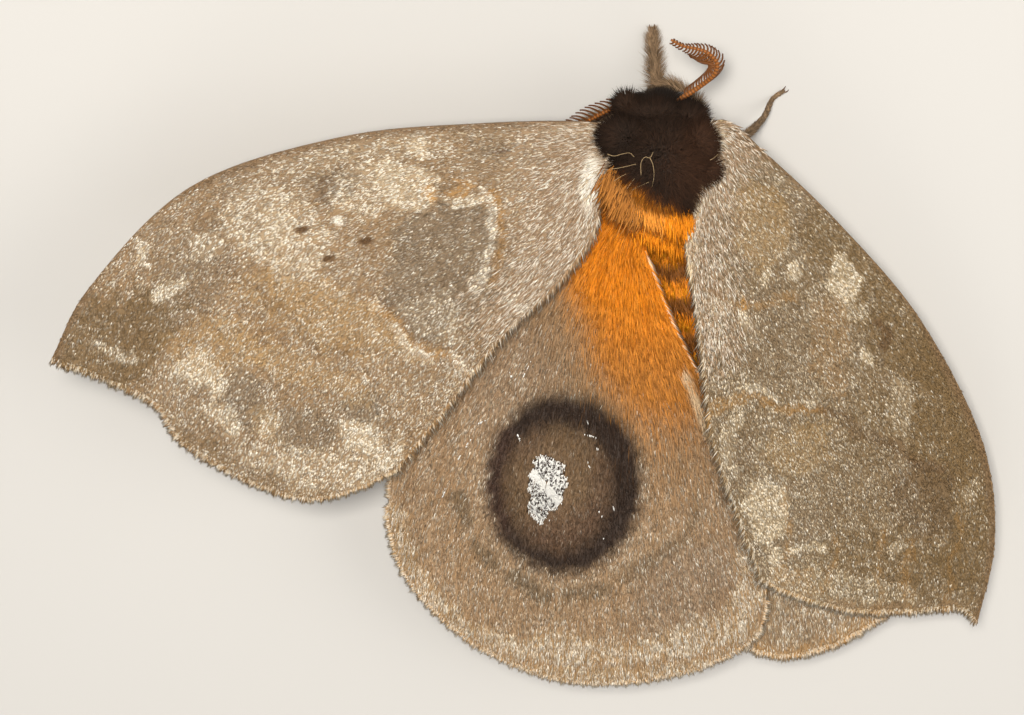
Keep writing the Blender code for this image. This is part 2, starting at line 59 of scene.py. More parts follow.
# Wings: their edges, camber and the raised dome under the eyespot, as in the solids
WINGS = {
    "forewing_left": dict(
        front=((10.0, 19.9, 8.3), (7.0, 21.3, 8.5), (-2.6, 21.3, 8.8), (-14.1, 20.3, 9.4),
               (-26.4, 16.3, 10.2), (-35.0, 7.8, 10.8), (-38.6, 1.3, 11.0)),
        outer=((-38.6, 1.3, 11.0), (-33.9, -0.6, 11.0), (-29.9, -3.0, 10.9), (-28.2, -6.0, 10.8),
               (-24.0, -9.2, 10.5), (-19.0, -11.5, 10.3), (-15.0, -11.5, 10.1), (-10.0, -9.4, 9.7)),
        rear=((9.6, 16.4, 8.3), (7.5, 15.6, 9.1), (6.6, 12.0, 9.7), (3.6, 7.7, 10.0),
              (-1.0, 3.0, 10.0), (-5.2, -2.9, 9.9), (-10.0, -9.4, 9.7)),
        camber=0.5),
    "forewing_right": dict(
        front=((14.6, 19.9, 8.3), (17.4, 21.5, 8.5), (21.3, 18.1, 7.8), (27.4, 11.9, 6.9),
               (34.7, 3.0, 6.0), (40.7, -8.5, 5.1), (42.4, -18.0, 5.0), (41.3, -26.2, 5.2)),
        outer=((41.3, -26.2, 5.2), (39.6, -24.7, 5.4), (35.5, -24.7, 5.9), (30.6, -24.3, 6.7),
               (25.6, -22.6, 7.6), (21.9, -20.4, 8.4)),
        rear=((15.0, 16.4, 8.3), (15.1, 14.5, 8.8), (14.6, 11.3, 9.0), (15.4, 6.0, 9.0),
              (16.4, -1.2, 9.0), (17.2, -6.8, 9.0), (19.2, -13.0, 8.8), (21.9, -20.4, 8.4)),
        camber=0.6),
    "hindwing_left": dict(
        front=((9.4, 15.6, 7.6), (6.5, 15.5, 7.8), (1.0, 11.5, 8.0), (-5.0, 3.5, 7.9),
               (-9.3, -5.0, 7.6), (-10.4, -11.0, 7.4)),
        outer=((-10.4, -11.0, 7.4), (-10.6, -16.1, 7.2), (-8.8, -21.5, 7.0), (-3.3, -27.5, 6.8),
               (4.3, -31.0, 6.8), (11.4, -31.1, 6.8), (17.5, -29.4, 6.9), (21.4, -26.6, 7.1),
               (22.3, -23.0, 7.3)),
        rear=((11.4, 13.4, 7.9), (11.0, 10.9, 8.3), (11.6, 8.6, 8.4), (13.7, 3.1, 8.2),
              (16.6, -3.0, 7.9), (18.2, -8.1, 7.8), (20.1, -13.9, 7.7), (21.9, -19.4, 7.5),
              (22.3, -23.0, 7.3)),
        camber=0.3, dome=(3.8, -11.8, 6.5, 0.6)),
    "hindwing_right": dict(
        front=((15.4, 16.6, 7.0), (19.5, 14.5, 6.8), (25.0, 8.5, 6.0), (29.5, 0.5, 5.3),
               (32.8, -8.0, 4.9), (34.3, -17.0, 4.9), (33.8, -24.6, 5.1)),
        outer=((33.8, -24.6, 5.1), (31.7, -26.4, 5.3), (28.2, -28.4, 5.5), (23.8, -29.3, 5.6),
               (18.9, -27.6, 5.6)),
        rear=((15.4, 14.6, 6.9), (17.6, 12.6, 6.6), (19.3, 8.0, 6.2), (20.4, 2.0, 5.8),
              (20.7, -4.0, 5.7), (20.2, -10.0, 5.6), (18.9, -16.0, 5.6), (18.3, -22.0, 5.6),
              (18.9, -27.6, 5.6)),
        camber=0.2),
}
# Main veins: share of the breadth at the hinge and at the margin, and where they leave the cell
FOREWING_VEINS = ((0.10, 0.035, 0.0), (0.17, 0.17, 0.45), (0.36, 0.32, 0.45), (0.52, 0.46, 0.45),
                  (0.58, 0.61, 0.0), (0.64, 0.77, 0.35), (0.86, 0.93, 0.0))
HINDWING_VEINS = ((0.12, 0.06, 0.0), (0.24, 0.22, 0.35), (0.38, 0.38, 0.4), (0.48, 0.53, 0.4),
                  (0.56, 0.67, 0.0), (0.64, 0.81, 0.35), (0.86, 0.94, 0.0))
VEIN = 0.16                  # height of a vein under the scales
VEIN_HALF = 0.45
SKIN_UNDER = 0.08            # the wing's skin lies so far under the solid's face
SKIN_THICK = 0.3

# Body: middles, half sizes and radii, as in the solids
THORAX = (12.3, 17.3, 7.0)
THORAX_HALF = (4.2, 4.5, 3.5)
THORAX_TUCK = 0.55
CROWN = (0.0, 1.4)
HEAD = (12.3, 21.5, 4.8)
HEAD_HALF = (2.1, 1.6, 1.9)
EYE_RADIUS = 1.0
EYE_OUT = (1.72, 0.25, -0.25)
PALP = ((0.6, 0.6, -0.9), (0.68, 0.95, -1.5), (0.6, 0.95, -2.15))
PALP_RADII = (0.3, 0.32, 0.18)
ABDOMEN_AXIS = ((12.7, 14.8, 4.8), (13.5, 10.5, 4.7), (14.6, 6.0, 4.6), (15.9, 0.8, 4.4),
                (17.2, -4.6, 4.0), (18.2, -9.2, 3.6))
ABDOMEN_HALF_WIDTHS = (2.3, 3.3, 3.75, 3.6, 2.7, 0.9)
ABDOMEN_FLAT = 0.76
BELLY_COAT = 0.4             # depth of the abdomen's short hair inside its solid
HEAD_COAT = 0.15             # and of the head's
# The left antenna's outer half is nearer to the photograph than its solid, up to 1 mm ahead of it
ANTENNA_LEFT = ((11.5, 21.9, 6.0), (10.5, 22.5, 6.4), (9.3, 22.4, 6.2), (8.0, 21.65, 5.9),
                (6.8, 20.9, 5.6), (5.6, 20.1, 5.3), (4.3, 19.5, 5.0), (3.0, 19.0, 4.7))
ANTENNA_RIGHT = ((13.2, 21.9, 6.0), (14.0, 22.8, 6.4), (15.4, 23.8, 6.5), (16.5, 24.9, 6.9),
                 (16.8, 25.9, 7.0), (16.1, 26.8, 7.0), (15.2, 27.15, 6.9), (14.0, 27.35, 6.7),
                 (13.0, 27.8, 6.4))
SHAFT_RADII = (0.26, 0.1)
RAMI = {"antenna_left": 16, "antenna_right": 30}     # on each side of a shaft, more than on the solid
RAMI_SPAN = {"antenna_left": (0.3, 0.97), "antenna_right": (0.16, 0.97)}      # shares of the shaft
RAMUS_LENGTH = 1.6
RAMUS_BEND = ((0.0, 0.0, 0.0), (0.5, 0.1, 0.1), (0.85, 0.35, 0.12), (1.0, 0.72, 0.08))
LEG_RADII = (0.5, 0.5, 0.36, 0.24, 0.2, 0.17)
FORELEG_RADII = (0.5, 0.5, 0.42, 0.4, 0.34, 0.17)
FOOT_HEIGHT = 0.2
FOOT_JOINTS = 13             # joints of the foot, if they ran along the whole leg
LEGS = {
    "foreleg_left": ((11.0, 18.3, 4.5), (9.2, 19.9, 2.9), (7.3, 19.6, 2.4), (5.6, 18.0, 1.3),
                     (4.6, 16.6), (3.8, 15.4)),
    "foreleg_right": ((13.6, 18.3, 4.5), (15.3, 20.6, 1.9), (13.5, 22.2, 1.25), (12.2, 22.5, 1.1),
                      (11.9, 25.2), (11.75, 26.9)),
    "midleg_left": ((10.6, 17.5, 4.6), (7.2, 17.0, 4.2), (4.6, 14.6, 3.2), (2.4, 12.2, 1.3),
                    (1.4, 10.6), (0.7, 9.2)),
    "midleg_right": ((14.0, 17.5, 4.6), (17.4, 17.6, 4.5), (19.6, 18.6, 3.2), (21.2, 19.6, 1.5),
                     (22.0, 20.8), (22.9, 21.5)),
    "hindleg_left": ((9.5, 16.1, 4.9), (6.9, 12.3, 3.9), (5.8, 6.6, 3.2), (4.2, 0.8, 1.4),
                     (3.2, -2.6), (2.7, -4.8)),
    "hindleg_right": ((15.1, 16.1, 4.9), (18.5, 12.9, 3.8), (20.8, 7.4, 3.0), (23.0, 1.0, 1.3),
                      (24.0, -2.2), (24.4, -4.4)),
}

# Paints, as they look on a screen, 0 to 255
PAINTS = dict(
    tan=(150, 119, 82), olive=(125, 101, 67), grey=(130, 109, 84), dark_grey=(112, 89, 64),
    white=(255, 250, 238), cream=(228, 208, 174), ochre=(180, 134, 70), pink_brown=(134, 108, 80),
    brown=(104, 76, 48), orange=(228, 139, 28), deep_orange=(208, 112, 14), band=(108, 68, 32),
    gold=(226, 150, 60), gold_tan=(186, 150, 96), gold_brown=(186, 124, 58), arc=(84, 74, 56),
    ring=(50, 36, 28), iris=(110, 86, 60), iris_dark=(92, 64, 52), pupil=(255, 254, 250),
    mauve=(150, 126, 102), wing_brown=(170, 138, 103), under=(176, 144, 106), warm=(160, 132, 102),
    pile=(38, 28, 21), pile_red=(66, 42, 27), pale_hair=(206, 178, 136), limb=(130, 108, 84),
    horn=(146, 88, 36), horn_dark=(82, 48, 22), eye=(22, 15, 12))


def linear(rgb):
    """The amount of light that a value on the screen stands for."""
    c = np.array(rgb, float) / 255
    return np.where(c <= 0.04045, c / 12.92, ((c + 0.055) / 1.055) ** 2.4)


PAINT = {name: linear(rgb) for name, rgb in PAINTS.items()}


def ease(x):
    x = np.clip(x, 0, 1)
    return x * x * (3 - 2 * x)


def unit(v):
    return v / np.maximum(np.linalg.norm(v, axis=-1, keepdims=True), 1e-9)


def metres(points):
    return (np.asarray(points, float) - (*MIDDLE, 0)) * MM


def through(points, count):
    """Points at even steps along the smooth curve through the given ones."""
    p = np.array(points, float)
    p = np.vstack((2 * p[0] - p[1], p, 2 * p[-1] - p[-2]))
    t = np.linspace(0, 1, 12, endpoint=False)[:, None]
    spans = [b + 0.5 * ((c - a) * t + (2 * a - 5 * b + 4 * c - d) * t ** 2 + (3 * b - a - 3 * c + d) * t ** 3)
             for a, b, c, d in zip(p, p[1:], p[2:], p[3:])]
    fine = np.vstack(spans + [p[-2:-1]])
    run = np.concatenate(([0], np.cumsum(np.linalg.norm(np.diff(fine, axis=0), axis=1))))
    steps = np.linspace(0, run[-1], count)
    return np.column_stack([np.interp(steps, run, column) for column in fine.T])


# Camera, and where a point of the model lies in the picture
FORWARD = np.array((0, -sin(TILT), -cos(TILT)))
UPWARD = np.array((0, cos(TILT), -sin(TILT)))
EYE_POINT = LOOKED_AT - FORWARD * FOCAL * PIXEL


def picture(points):
    """The pixel, counted right and down, at which each point of the model is seen."""
    away = np.asarray(points, float) - EYE_POINT
    depth = away @ FORWARD
    return np.stack((PICTURE[0] / 2 + FOCAL * away[..., 0] / depth,
                     PICTURE[1] / 2 - FOCAL * (away @ UPWARD) / depth), axis=-1)


def noise(p, size, seed):
    """Smooth noise from 0 to 1 over points of a plane, with lumps of the given size."""
    table = np.random.default_rng(seed).random((64, 64))
    q = p / size + 1000
    cell = np.floor(q).astype(int)
    f = ease(q - cell)
    i, j = cell[..., 0] % 64, cell[..., 1] % 64
    a, b = table[i, j], table[(i + 1) % 64, j]
    c, d = table[i, (j + 1) % 64], table[(i + 1) % 64, (j + 1) % 64]
    near = a + (b - a) * f[..., 0]
    return near + (c + (d - c) * f[..., 0] - near) * f[..., 1]


def rough(p, size, seed):
    """Noise of three sizes, sharpened about its middle."""
    n = 0.5 * noise(p, size, seed) + 0.3 * noise(p, size / 2, seed + 1) + 0.2 * noise(p, size / 4, seed + 2)
    return np.clip((n - 0.5) * 1.7 + 0.5, 0, 1)


def ragged(p, reach, size, seed):
    """The points shifted by noise, so that what is drawn there gets a ragged edge."""
    shift = np.stack((noise(p, size, seed), noise(p, size, seed + 7)), axis=-1) - 0.5
    return p + shift * 2 * reach


def along(p, line, half, soft):
    """1 within so many pixels of a line, eased to 0 over a soft edge."""
    line = np.array(line, float)
    best = np.full(p.shape[:-1], 1e9)
    for a, b in zip(line, line[1:]):
        share = np.clip((p - a) @ (b - a) / ((b - a) @ (b - a)), 0, 1)
        best = np.minimum(best, np.linalg.norm(p - a - share[..., None] * (b - a), axis=-1))
    return ease((half + soft - best) / soft)


def measured(p, centre, half, turn=0.0):
    """Distance from a middle, 1 on the edge of an ellipse. The turn is in degrees, clockwise."""
    d = p - np.array(centre, float)
    c, s = cos(radians(turn)), sin(radians(turn))
    return np.hypot((d[..., 0] * c + d[..., 1] * s) / half[0], (d[..., 1] * c - d[..., 0] * s) / half[1])


def patch(p, centre, half, turn=0.0, soft=0.5):
    """1 inside an ellipse, eased to 0 over a share of its size."""
    return ease((1 + soft / 2 - measured(p, centre, half, turn)) / soft)


def broken(p, mask, size, seed):
    """A mask broken up by noise where it is partial."""
    return ease((mask * 1.5 + rough(p, size, seed) - 1) / 0.5)


def mix(first, second, share):
    """One paint blended into another by a share."""
    return PAINT[first] + (PAINT[second] - PAINT[first]) * share


def over(colour, paint, mask):
    """A colour with a paint laid over it where the mask says."""
    return colour + (PAINT[paint] - colour) * mask[..., None]


def plain(p, paint):
    """One paint at every point."""
    return np.zeros((*p.shape[:-1], 3)) + PAINT[paint]


# Markings. Each gives the ground's colour and the share of white scales at points of the picture.
CALM = dict(grey=0.4, dark_grey=0.6, olive=0.8)      # share of the white scales that such ground lacks

# Patches of the forewings: a paint, then the middle, half sizes, turn and strength of each patch
LEFT_PATCHES = (
    ("tan", (320, 330, 95, 50, 20, 0.9), (215, 320, 60, 40, 0, 0.6)),
    ("grey", (440, 268, 48, 62, 20, 0.95), (240, 402, 23, 26, 10, 0.8), (298, 427, 26, 19, 10, 0.75),
     (362, 403, 26, 13, 5, 0.85), (190, 290, 40, 24, -40, 0.5)),
    ("olive", (105, 345, 72, 40, -30, 0.8)),
    ("dark_grey", (338, 190, 17, 12, -15, 0.8)),
    ("grey", (545, 152, 60, 14, 0, 0.5)),
    ("gold_tan", (330, 318, 80, 26, 20, 0.4), (300, 368, 64, 16, 20, 0.3), (214, 352, 44, 26, 0, 0.3),
     (262, 422, 12, 16, 0, 0.3)),
    ("white", (405, 186, 25, 19, -8, 0.9), (372, 193, 26, 23, 0, 0.6), (420, 146, 9, 7, 0, 0.95),
     (461, 204, 17, 6, -10, 0.95), (357, 152, 66, 12, -8, 0.3), (274, 226, 42, 30, 25, 0.5),
     (279, 233, 17, 13, -20, 0.7), (208, 250, 13, 9, 0, 0.6), (297, 270, 20, 11, 0, 0.55),
     (199, 368, 17, 13, -40, 1.0), (214, 382, 10, 12, 20, 0.8), (220, 420, 20, 9, 40, 0.9),
     (264, 424, 6, 14, 30, 0.6), (356, 430, 20, 12, 15, 1.0), (372, 447, 17, 9, 35, 0.85),
     (395, 454, 8, 15, 20, 0.85), (146, 260, 5, 12, -15, 1.0), (173, 289, 9, 9, 35, 0.95),
     (377, 300, 7, 8, 0, 1.0), (110, 348, 16, 5, 10, 0.5), (320, 466, 62, 18, 8, 0.5),
     (430, 330, 26, 30, 20, 0.3)),
    ("ochre", (428, 188, 5, 10, 0, 1.0), (462, 193, 16, 4, -15, 0.7)),
)
RIGHT_PATCHES = (
    ("grey", (774, 335, 40, 46, 0, 0.8), (808, 528, 20, 17, 0, 0.9)),
    ("tan", (832, 340, 17, 46, 0, 0.7)),
    ("gold_tan", (758, 226, 24, 36, -10, 0.35), (800, 450, 34, 20, 0, 0.3)),
    ("olive", (890, 300, 34, 100, -38, 0.8), (950, 450, 30, 120, -8, 0.8), (880, 570, 60, 36, 0, 0.5)),
    ("dark_grey", (925, 500, 26, 36, 0, 0.5), (736, 462, 14, 26, 0, 0.4)),
    ("white", (764, 272, 4, 8, 25, 0.95), (796, 270, 7, 9, 15, 0.95), (841, 280, 13, 14, 25, 1.0),
     (854, 308, 18, 8, 20, 0.4), (766, 510, 19, 21, 5, 0.95), (774, 558, 6, 13, 0, 0.8),
     (741, 556, 7, 16, 0, 0.6), (872, 355, 5, 5, 0, 1.0), (807, 553, 17, 5, 0, 0.85),
     (902, 410, 9, 26, -12, 0.3), (970, 490, 5, 12, 15, 0.25), (898, 547, 6, 11, 0, 0.45),
     (712, 310, 11, 10, 0, 0.6), (746, 315, 7, 7, 0, 0.7), (728, 442, 7, 32, 0, 0.5),
     (840, 590, 60, 12, 5, 0.35)),
    ("ochre", (746, 303, 6, 7, 0, 0.8), (800, 582, 26, 7, 15, 0.3)),
)
# Lines of the forewings: paint, points, half width and strength
LEFT_LINES = (
    ("ochre", ((493, 196), (494, 215), (491, 234)), 2, 0.7),
    ("ochre", ((497, 240), (492, 262), (486, 280)), 2.5, 0.6),
    ("white", ((484, 194), (484, 236)), 2, 1.0),
    ("white", ((483, 238), (478, 262), (471, 286)), 2, 0.9),
    ("ochre", ((514, 280), (520, 292), (532, 302)), 3, 0.7),
    ("white", ((506, 290), (516, 306), (526, 322)), 3, 0.95),
    ("ochre", ((372, 296), (400, 325), (440, 355), (472, 378)), 3, 0.6),
    ("brown", ((376, 292), (404, 321), (442, 350), (470, 370)), 1.5, 0.6),
    ("white", ((392, 330), (412, 346), (430, 357)), 2.5, 0.85),
    ("white", ((452, 362), (478, 374)), 3.5, 0.95),
    ("brown", ((230, 262), (262, 300), (320, 345), (380, 352)), 3, 0.35),
    ("olive", ((120, 385), (180, 440), (250, 480), (330, 492)), 7, 0.4),
)
RIGHT_LINES = (
    ("ochre", ((704, 297), (735, 302), (770, 303), (800, 296)), 3, 0.4),
    ("ochre", ((700, 408), (740, 404), (780, 407), (820, 417)), 2, 0.55),
    ("white", ((747, 397), (764, 393), (782, 398)), 1.5, 0.9),
    ("white", ((798, 404), (816, 408)), 1.2, 0.8),
    ("brown", ((820, 417), (860, 434), (900, 447), (940, 470)), 4, 0.45),
    ("brown", ((884, 326), (890, 336), (886, 344)), 2, 0.8),
    ("ochre", ((786, 492), (789, 530), (785, 562)), 1, 0.4),
    ("ochre", ((836, 540), (834, 566), (828, 590)), 1, 0.35),
    ("ochre", ((881, 530), (880, 570), (877, 608)), 1, 0.35),
    ("ochre", ((912, 540), (908, 575), (904, 608)), 1, 0.3),
    ("ochre", ((958, 520), (957, 560), (950, 604)), 1, 0.3),
)
LEFT_FRONT = ((600, 122), (540, 120), (420, 127), (340, 138), (280, 150), (200, 180), (140, 218), (100, 265),
              (60, 335), (52, 362))
RIGHT_FRONT = ((723, 125), (783, 163), (862, 238), (922, 312), (969, 408), (989, 462), (997, 530), (990, 590),
               (979, 622))
LEFT_BASE_DASH = ((496, 151), (510, 150))
LEFT_COLLAR = ((560, 128), (598, 130))
LEFT_SPOTS = ((302, 230), (328, 259), (365, 241))
LEFT_DOT = (338, 221)
RIGHT_REAR = ((720, 128), (700, 185), (690, 220), (688, 262))
RIGHT_MARGIN = ((772, 590), (800, 602), (840, 608), (880, 612), (960, 610))


def with_pattern(p, q, colour, white, patches, seed, lines, calm=1.0):
    """Patches and lines over a ground. They have broken edges, are drawn at the ragged points q, and the
    patches are fuller and crisper where they are white."""
    for name, *places in patches:
        sharp = name == "white"
        for x, y, across, down, turn, strength in places:
            size = np.array((across, down)) * (1.3 if sharp else 1.15)
            mask = broken(p, patch(q, (x, y), size, turn, 0.55 if sharp else 0.9), 9, seed) * strength
            colour = over(colour, "cream", mask * 0.2) if sharp else over(colour, name, mask)
            white = white + mask * (1 - white) if sharp else white * (1 - mask * CALM.get(name, 0) * calm)
    for name, line, half, strength in lines:
        mask = broken(p, along(q, line, half, 5), 5, 19) * strength
        colour = over(colour, name, mask * (0.15 if name == "white" else 0.8))
        white = white + (mask * (1 - white) * 0.9 if name == "white" else -white * mask * 0.5)
    return colour, white


def forewing_left(p):
    """Tan and grey, with white patches, zigzag lines and a cream margin."""
    q = ragged(ragged(p, 9, 30, 11), 5, 8, 12)
    colour = over(plain(p, "tan"), "grey", 0.55 * rough(p, 60, 21))
    colour, white = with_pattern(p, q, colour, 0.21 + 0.36 * rough(p, 34, 31), LEFT_PATCHES, 17, LEFT_LINES)
    basal = ease((p[..., 0] - 496) / 30) * ease((330 - p[..., 1]) / 50)
    colour = over(colour, "warm", 0.6 * basal)
    white = white + basal * (0.42 - white) * 0.8
    colour = over(colour, "brown", along(p, LEFT_BASE_DASH, 1.5, 2) * 0.9)
    shoulder = np.minimum(patch(p, (591, 183), (9, 28), 8, 0.8) + along(p, LEFT_COLLAR, 3, 5) * 0.6, 1)
    colour = over(colour, "cream", 0.6 * shoulder)
    white = np.maximum(white, 0.85 * shoulder)
    front = 0.65 * along(p, LEFT_FRONT, 3, 7)
    colour = over(colour, "pink_brown", front)
    white = white * (1 - front)
    for spot in LEFT_SPOTS:
        mark = patch(p, spot, (7, 3.5), -10, 0.6)
        colour = over(colour, "brown", mark * 0.9)
        white = white * (1 - mark)
    dot = patch(p, LEFT_DOT, (5, 5.5), 0, 0.3)
    return over(colour, "white", dot), np.clip(np.maximum(white, dot), 0, 1)


def forewing_right(p):
    """The same pattern, more olive and darker: painted shade, as this wing is seen more from its front."""
    q = ragged(ragged(p, 8, 28, 51), 4, 7, 52)
    colour = over(plain(p, "grey"), "olive", 0.75 * rough(p, 60, 61))
    outward = 0.4 * ease((p[..., 0] - 800) / 110)
    white = (0.17 + 0.27 * rough(p, 30, 71)) * (1 - outward)
    colour = over(colour, "olive", outward)
    colour, white = with_pattern(p, q, colour, white, RIGHT_PATCHES, 57, RIGHT_LINES, 0.7)
    base = ease((262 - p[..., 1]) / 70) * ease((770 - p[..., 0]) / 60)
    colour = over(colour, "warm", 0.4 * base)
    white = white + base * (0.5 - white) * 0.8
    hem = along(p, RIGHT_REAR, 5, 9)
    colour = over(colour, "cream", 0.8 * hem)
    white = np.maximum(white, 0.85 * hem)
    lower = along(q, RIGHT_MARGIN, 3, 7)
    colour = over(colour, "warm", 0.5 * lower)
    white = white * (1 - 0.6 * lower)
    front = 0.8 * along(p, RIGHT_FRONT, 3, 8)
    return over(colour, "pink_brown", front) * (0.98, 0.97, 0.9), np.clip(white * (1 - front), 0, 1)


# The left hindwing: its rim and arcs, and its eyespot's dark ring, iris, pupil, streak and glints
RIM_LEFT = ((391, 515), (402, 560), (428, 602), (470, 638), (520, 660))
RIM_RIGHT = ((690, 640), (738, 618), (754, 590), (748, 560))
RIM_LINE = ((389, 522), (397, 556), (421, 600), (464, 640), (516, 660), (560, 666), (637, 666), (700, 658),
            (748, 643), (764, 610))
ARCS = ((((457, 496), (462, 510), (467, 520)), 0.55), (((476, 548), (484, 558), (492, 566)), 0.5),
        (((514, 578), (526, 586), (545, 596)), 0.55), (((568, 596), (584, 595), (604, 590)), 0.5),
        (((620, 578), (640, 570), (656, 560)), 0.35), (((668, 552), (684, 538), (700, 510)), 0.3))
# Painted highlight on the ridge of the fold by the rear edge, and painted shade in the furrow beside it
FOLD_HIGHLIGHT_LINE = ((686, 377), (697, 405), (711, 438))
FOLD_SHADOW_LINE = ((698, 380), (709, 410), (721, 455), (727, 500))
RING_CENTRE = (564, 485)
RING_OUTER = (79, 91)
IRIS_CENTRE = (557, 488)
IRIS = (55, 64)
PUPIL = (((548, 483), (18, 25), 0), ((540, 502), (10, 19), 4))
PUPIL_STREAK = ((531, 472), (546, 486), (563, 505))
GLINTS = (((595, 444), (599, 452)), ((587, 459), (590, 469)), ((612, 503), (614, 509)),
          ((598, 510), (602, 516)), ((601, 533), (604, 540)), ((586, 418), (588, 423)),
          ((585, 434), (596, 437)), ((518, 434), (520, 440)), ((509, 370), (512, 377)),
          ((531, 361), (523, 378)), ((479, 423), (485, 420)), ((472, 438), (466, 446)),
          ((461, 454), (457, 461)), ((446, 486), (443, 496)))


def hindwing(p):
    """Orange at the base, then tan, with the ringed eyespot, a broken outer arc and a pale margin."""
    q = ragged(p, 4, 12, 81)
    colour = over(plain(p, "wing_brown"), "grey", 0.3 * rough(p, 50, 91))
    white = 0.13 + 0.17 * rough(p, 26, 95)
    base = ragged(p, 8, 40, 83)
    glow = patch(base, (648, 270), (74, 160), -10, 0.7) * ease((500 - p[..., 1]) / 130)
    colour = over(colour, "gold_brown", np.minimum(1.4 * glow, 1))
    bright = patch(base, (648, 262), (66, 150), -10, 0.6) * ease((400 - p[..., 1]) / 110)
    colour = over(colour, "orange", 0.93 * bright)
    colour = over(colour, "deep_orange", 0.25 * bright * rough(p * (1, 0.25), 9, 84))
    white = white * (1 - 0.9 * glow)
    colour = over(colour, "mauve", 0.6 * patch(q, (690, 590), (60, 44), -30, 0.8))
    colour = over(colour, "mauve", 0.4 * patch(q, (510, 380), (60, 60), 0, 0.8))
    scallops = 640 + 14 * noise(p * (1, 0), 26, 96) - 0.00062 * (p[..., 0] - 590) ** 2
    rim = ease((p[..., 1] - scallops + 14) / 14) + along(q, RIM_LEFT, 8, 10)
    rim = np.minimum(rim + along(q, RIM_RIGHT, 8, 14), 1)
    colour = over(colour, "gold_tan", 0.3 * rim)
    white = white + rim * (1 - white) * (0.35 + 0.57 * rough(p, 8, 97))
    line = along(ragged(p, 1.5, 10, 89), RIM_LINE, 1, 4)
    colour = over(colour, "wing_brown", 0.5 * line)
    white = white * (1 - 0.6 * line)
    for arc, strength in ARCS:
        mask = (0.5 * broken(p, along(q, arc, 3, 9), 6, 98) + 0.5 * along(q, arc, 2, 11)) * strength
        colour = over(colour, "arc", mask)
        white = white * (1 - 0.8 * mask)
    # Painted light: a highlight on the fold's ridge, and shade in the furrow and under the forewing's edge
    colour = over(colour, "cream", 0.7 * along(p, FOLD_HIGHLIGHT_LINE, 2, 6))
    colour = over(colour, "brown", 0.5 * along(p, FOLD_SHADOW_LINE, 2, 7))
    edge = ragged(p, 3, 7, 85)
    disc = ease((1.12 - measured(edge, RING_CENTRE, RING_OUTER)) / 0.24)
    colour = over(colour, "ring", 0.98 * disc)
    colour = over(colour, "iris_dark", 0.35 * disc * patch(q, (492, 478), (26, 60), 0, 0.8))
    white = white * (1 - 0.97 * disc)
    iris = ease((1.16 - measured(edge, IRIS_CENTRE, IRIS)) / 0.36)
    colour = over(colour, "iris", 0.95 * iris)
    rust = patch(q, (575, 542), (60, 32), 0, 1.0) + patch(q, (606, 490), (16, 50), 0, 1.0) * 0.7
    rust = np.minimum(rust + 0.5 * patch(q, (520, 440), (30, 20), -40, 1), 1)
    colour = over(colour, "iris_dark", 0.5 * iris * rust)
    colour = over(colour, "wing_brown", 0.22 * iris * patch(q, (555, 488), (34, 40), 0, 1.0))
    return colour, np.clip(white + iris * (0.05 - white), 0, 1)


HIDDEN_EYESPOT = (815, 462)
HIDDEN_RING = (64, 76)
STRIP_RIM = ((752, 655), (800, 656), (835, 643), (870, 624), (890, 610))


def hindwing_under(p):
    """The right hindwing's strip that shows below the forewing, and the hidden rest of it, which is like
    the left one: orange at the base, with an eyespot."""
    colour = over(plain(p, "tan"), "grey", 0.5 * rough(p, 40, 101))
    hidden = ease((585 - p[..., 1]) / 20)
    colour = over(colour, "orange", hidden * patch(p, (735, 280), (45, 140), -16, 0.7))
    for half, paint in ((HIDDEN_RING, "ring"), ((45, 53), "iris"), ((13, 21), "pupil")):
        colour = over(colour, paint, hidden * patch(ragged(p, 3, 7, 106), HIDDEN_EYESPOT, half, 0, 0.25))
    white = (0.38 + 0.36 * rough(p, 12, 103)) * (1 - hidden * patch(p, HIDDEN_EYESPOT, HIDDEN_RING, 0, 0.25))
    rim = along(ragged(p, 4, 10, 105), STRIP_RIM, 4, 10)
    return over(colour, "ochre", 0.45 * rim), np.clip(white - 0.15 * rim, 0, 1)


def under_side(p):
    """The wings' plainer under face."""
    return over(plain(p, "under"), "brown", 0.35 * rough(p, 70, 111)), 0.12 + 0.2 * rough(p, 30, 113)


MARKINGS = dict(forewing_left=forewing_left, forewing_right=forewing_right, hindwing_left=hindwing,
                hindwing_right=hindwing_under)


# Wing surfaces
EDGE_STEPS = 400             # points along each edge of a wing
CELLS = (80, 60)             # cells along and across a wing, from which random places are drawn
STEP = 0.004                 # share of a wing's length or breadth over which its slope is taken


def wing_point(name, u, v):
    """The solid's upper face at shares u of the wing's length and v of its breadth, with its veins."""
    sizes = WINGS[name]
    front, outer, rear = (through(sizes[edge], EDGE_STEPS) for edge in ("front", "outer", "rear"))
    hinge = np.linspace(front[0], rear[0], EDGE_STEPS)
    steps = np.linspace(0, 1, EDGE_STEPS)

    def on(edge, share):
        return np.stack([np.interp(share, steps, column) for column in edge.T], axis=-1)

    s, w = u[..., None], v[..., None]
    sheet = (1 - w) * on(front, u) + w * on(rear, u) + (1 - s) * on(hinge, v) + s * on(outer, v)
    sheet -= (1 - s) * ((1 - w) * front[0] + w * rear[0]) + s * ((1 - w) * front[-1] + w * rear[-1])
    sheet[..., 2] += sizes["camber"] * np.sin(pi * v) * np.sin(pi * u)
    if "dome" in sizes:
        x, y, radius, rise = sizes["dome"]
        sheet[..., 2] += rise * ease(1 - np.hypot(sheet[..., 0] - x, sheet[..., 1] - y) / radius)
    breadth = np.linalg.norm(on(front, u) - on(rear, u), axis=-1)
    for hinge_share, margin_share, start in FOREWING_VEINS if name.startswith("fore") else HINDWING_VEINS:
        crest = hinge_share + (margin_share - hinge_share) * ease(u)
        raised = ease((u - start) / 0.12) if start else 1
        sheet[..., 2] += VEIN * raised * ease(1 - np.abs(v - crest) * breadth / (VEIN_HALF * 1.6))
    return sheet


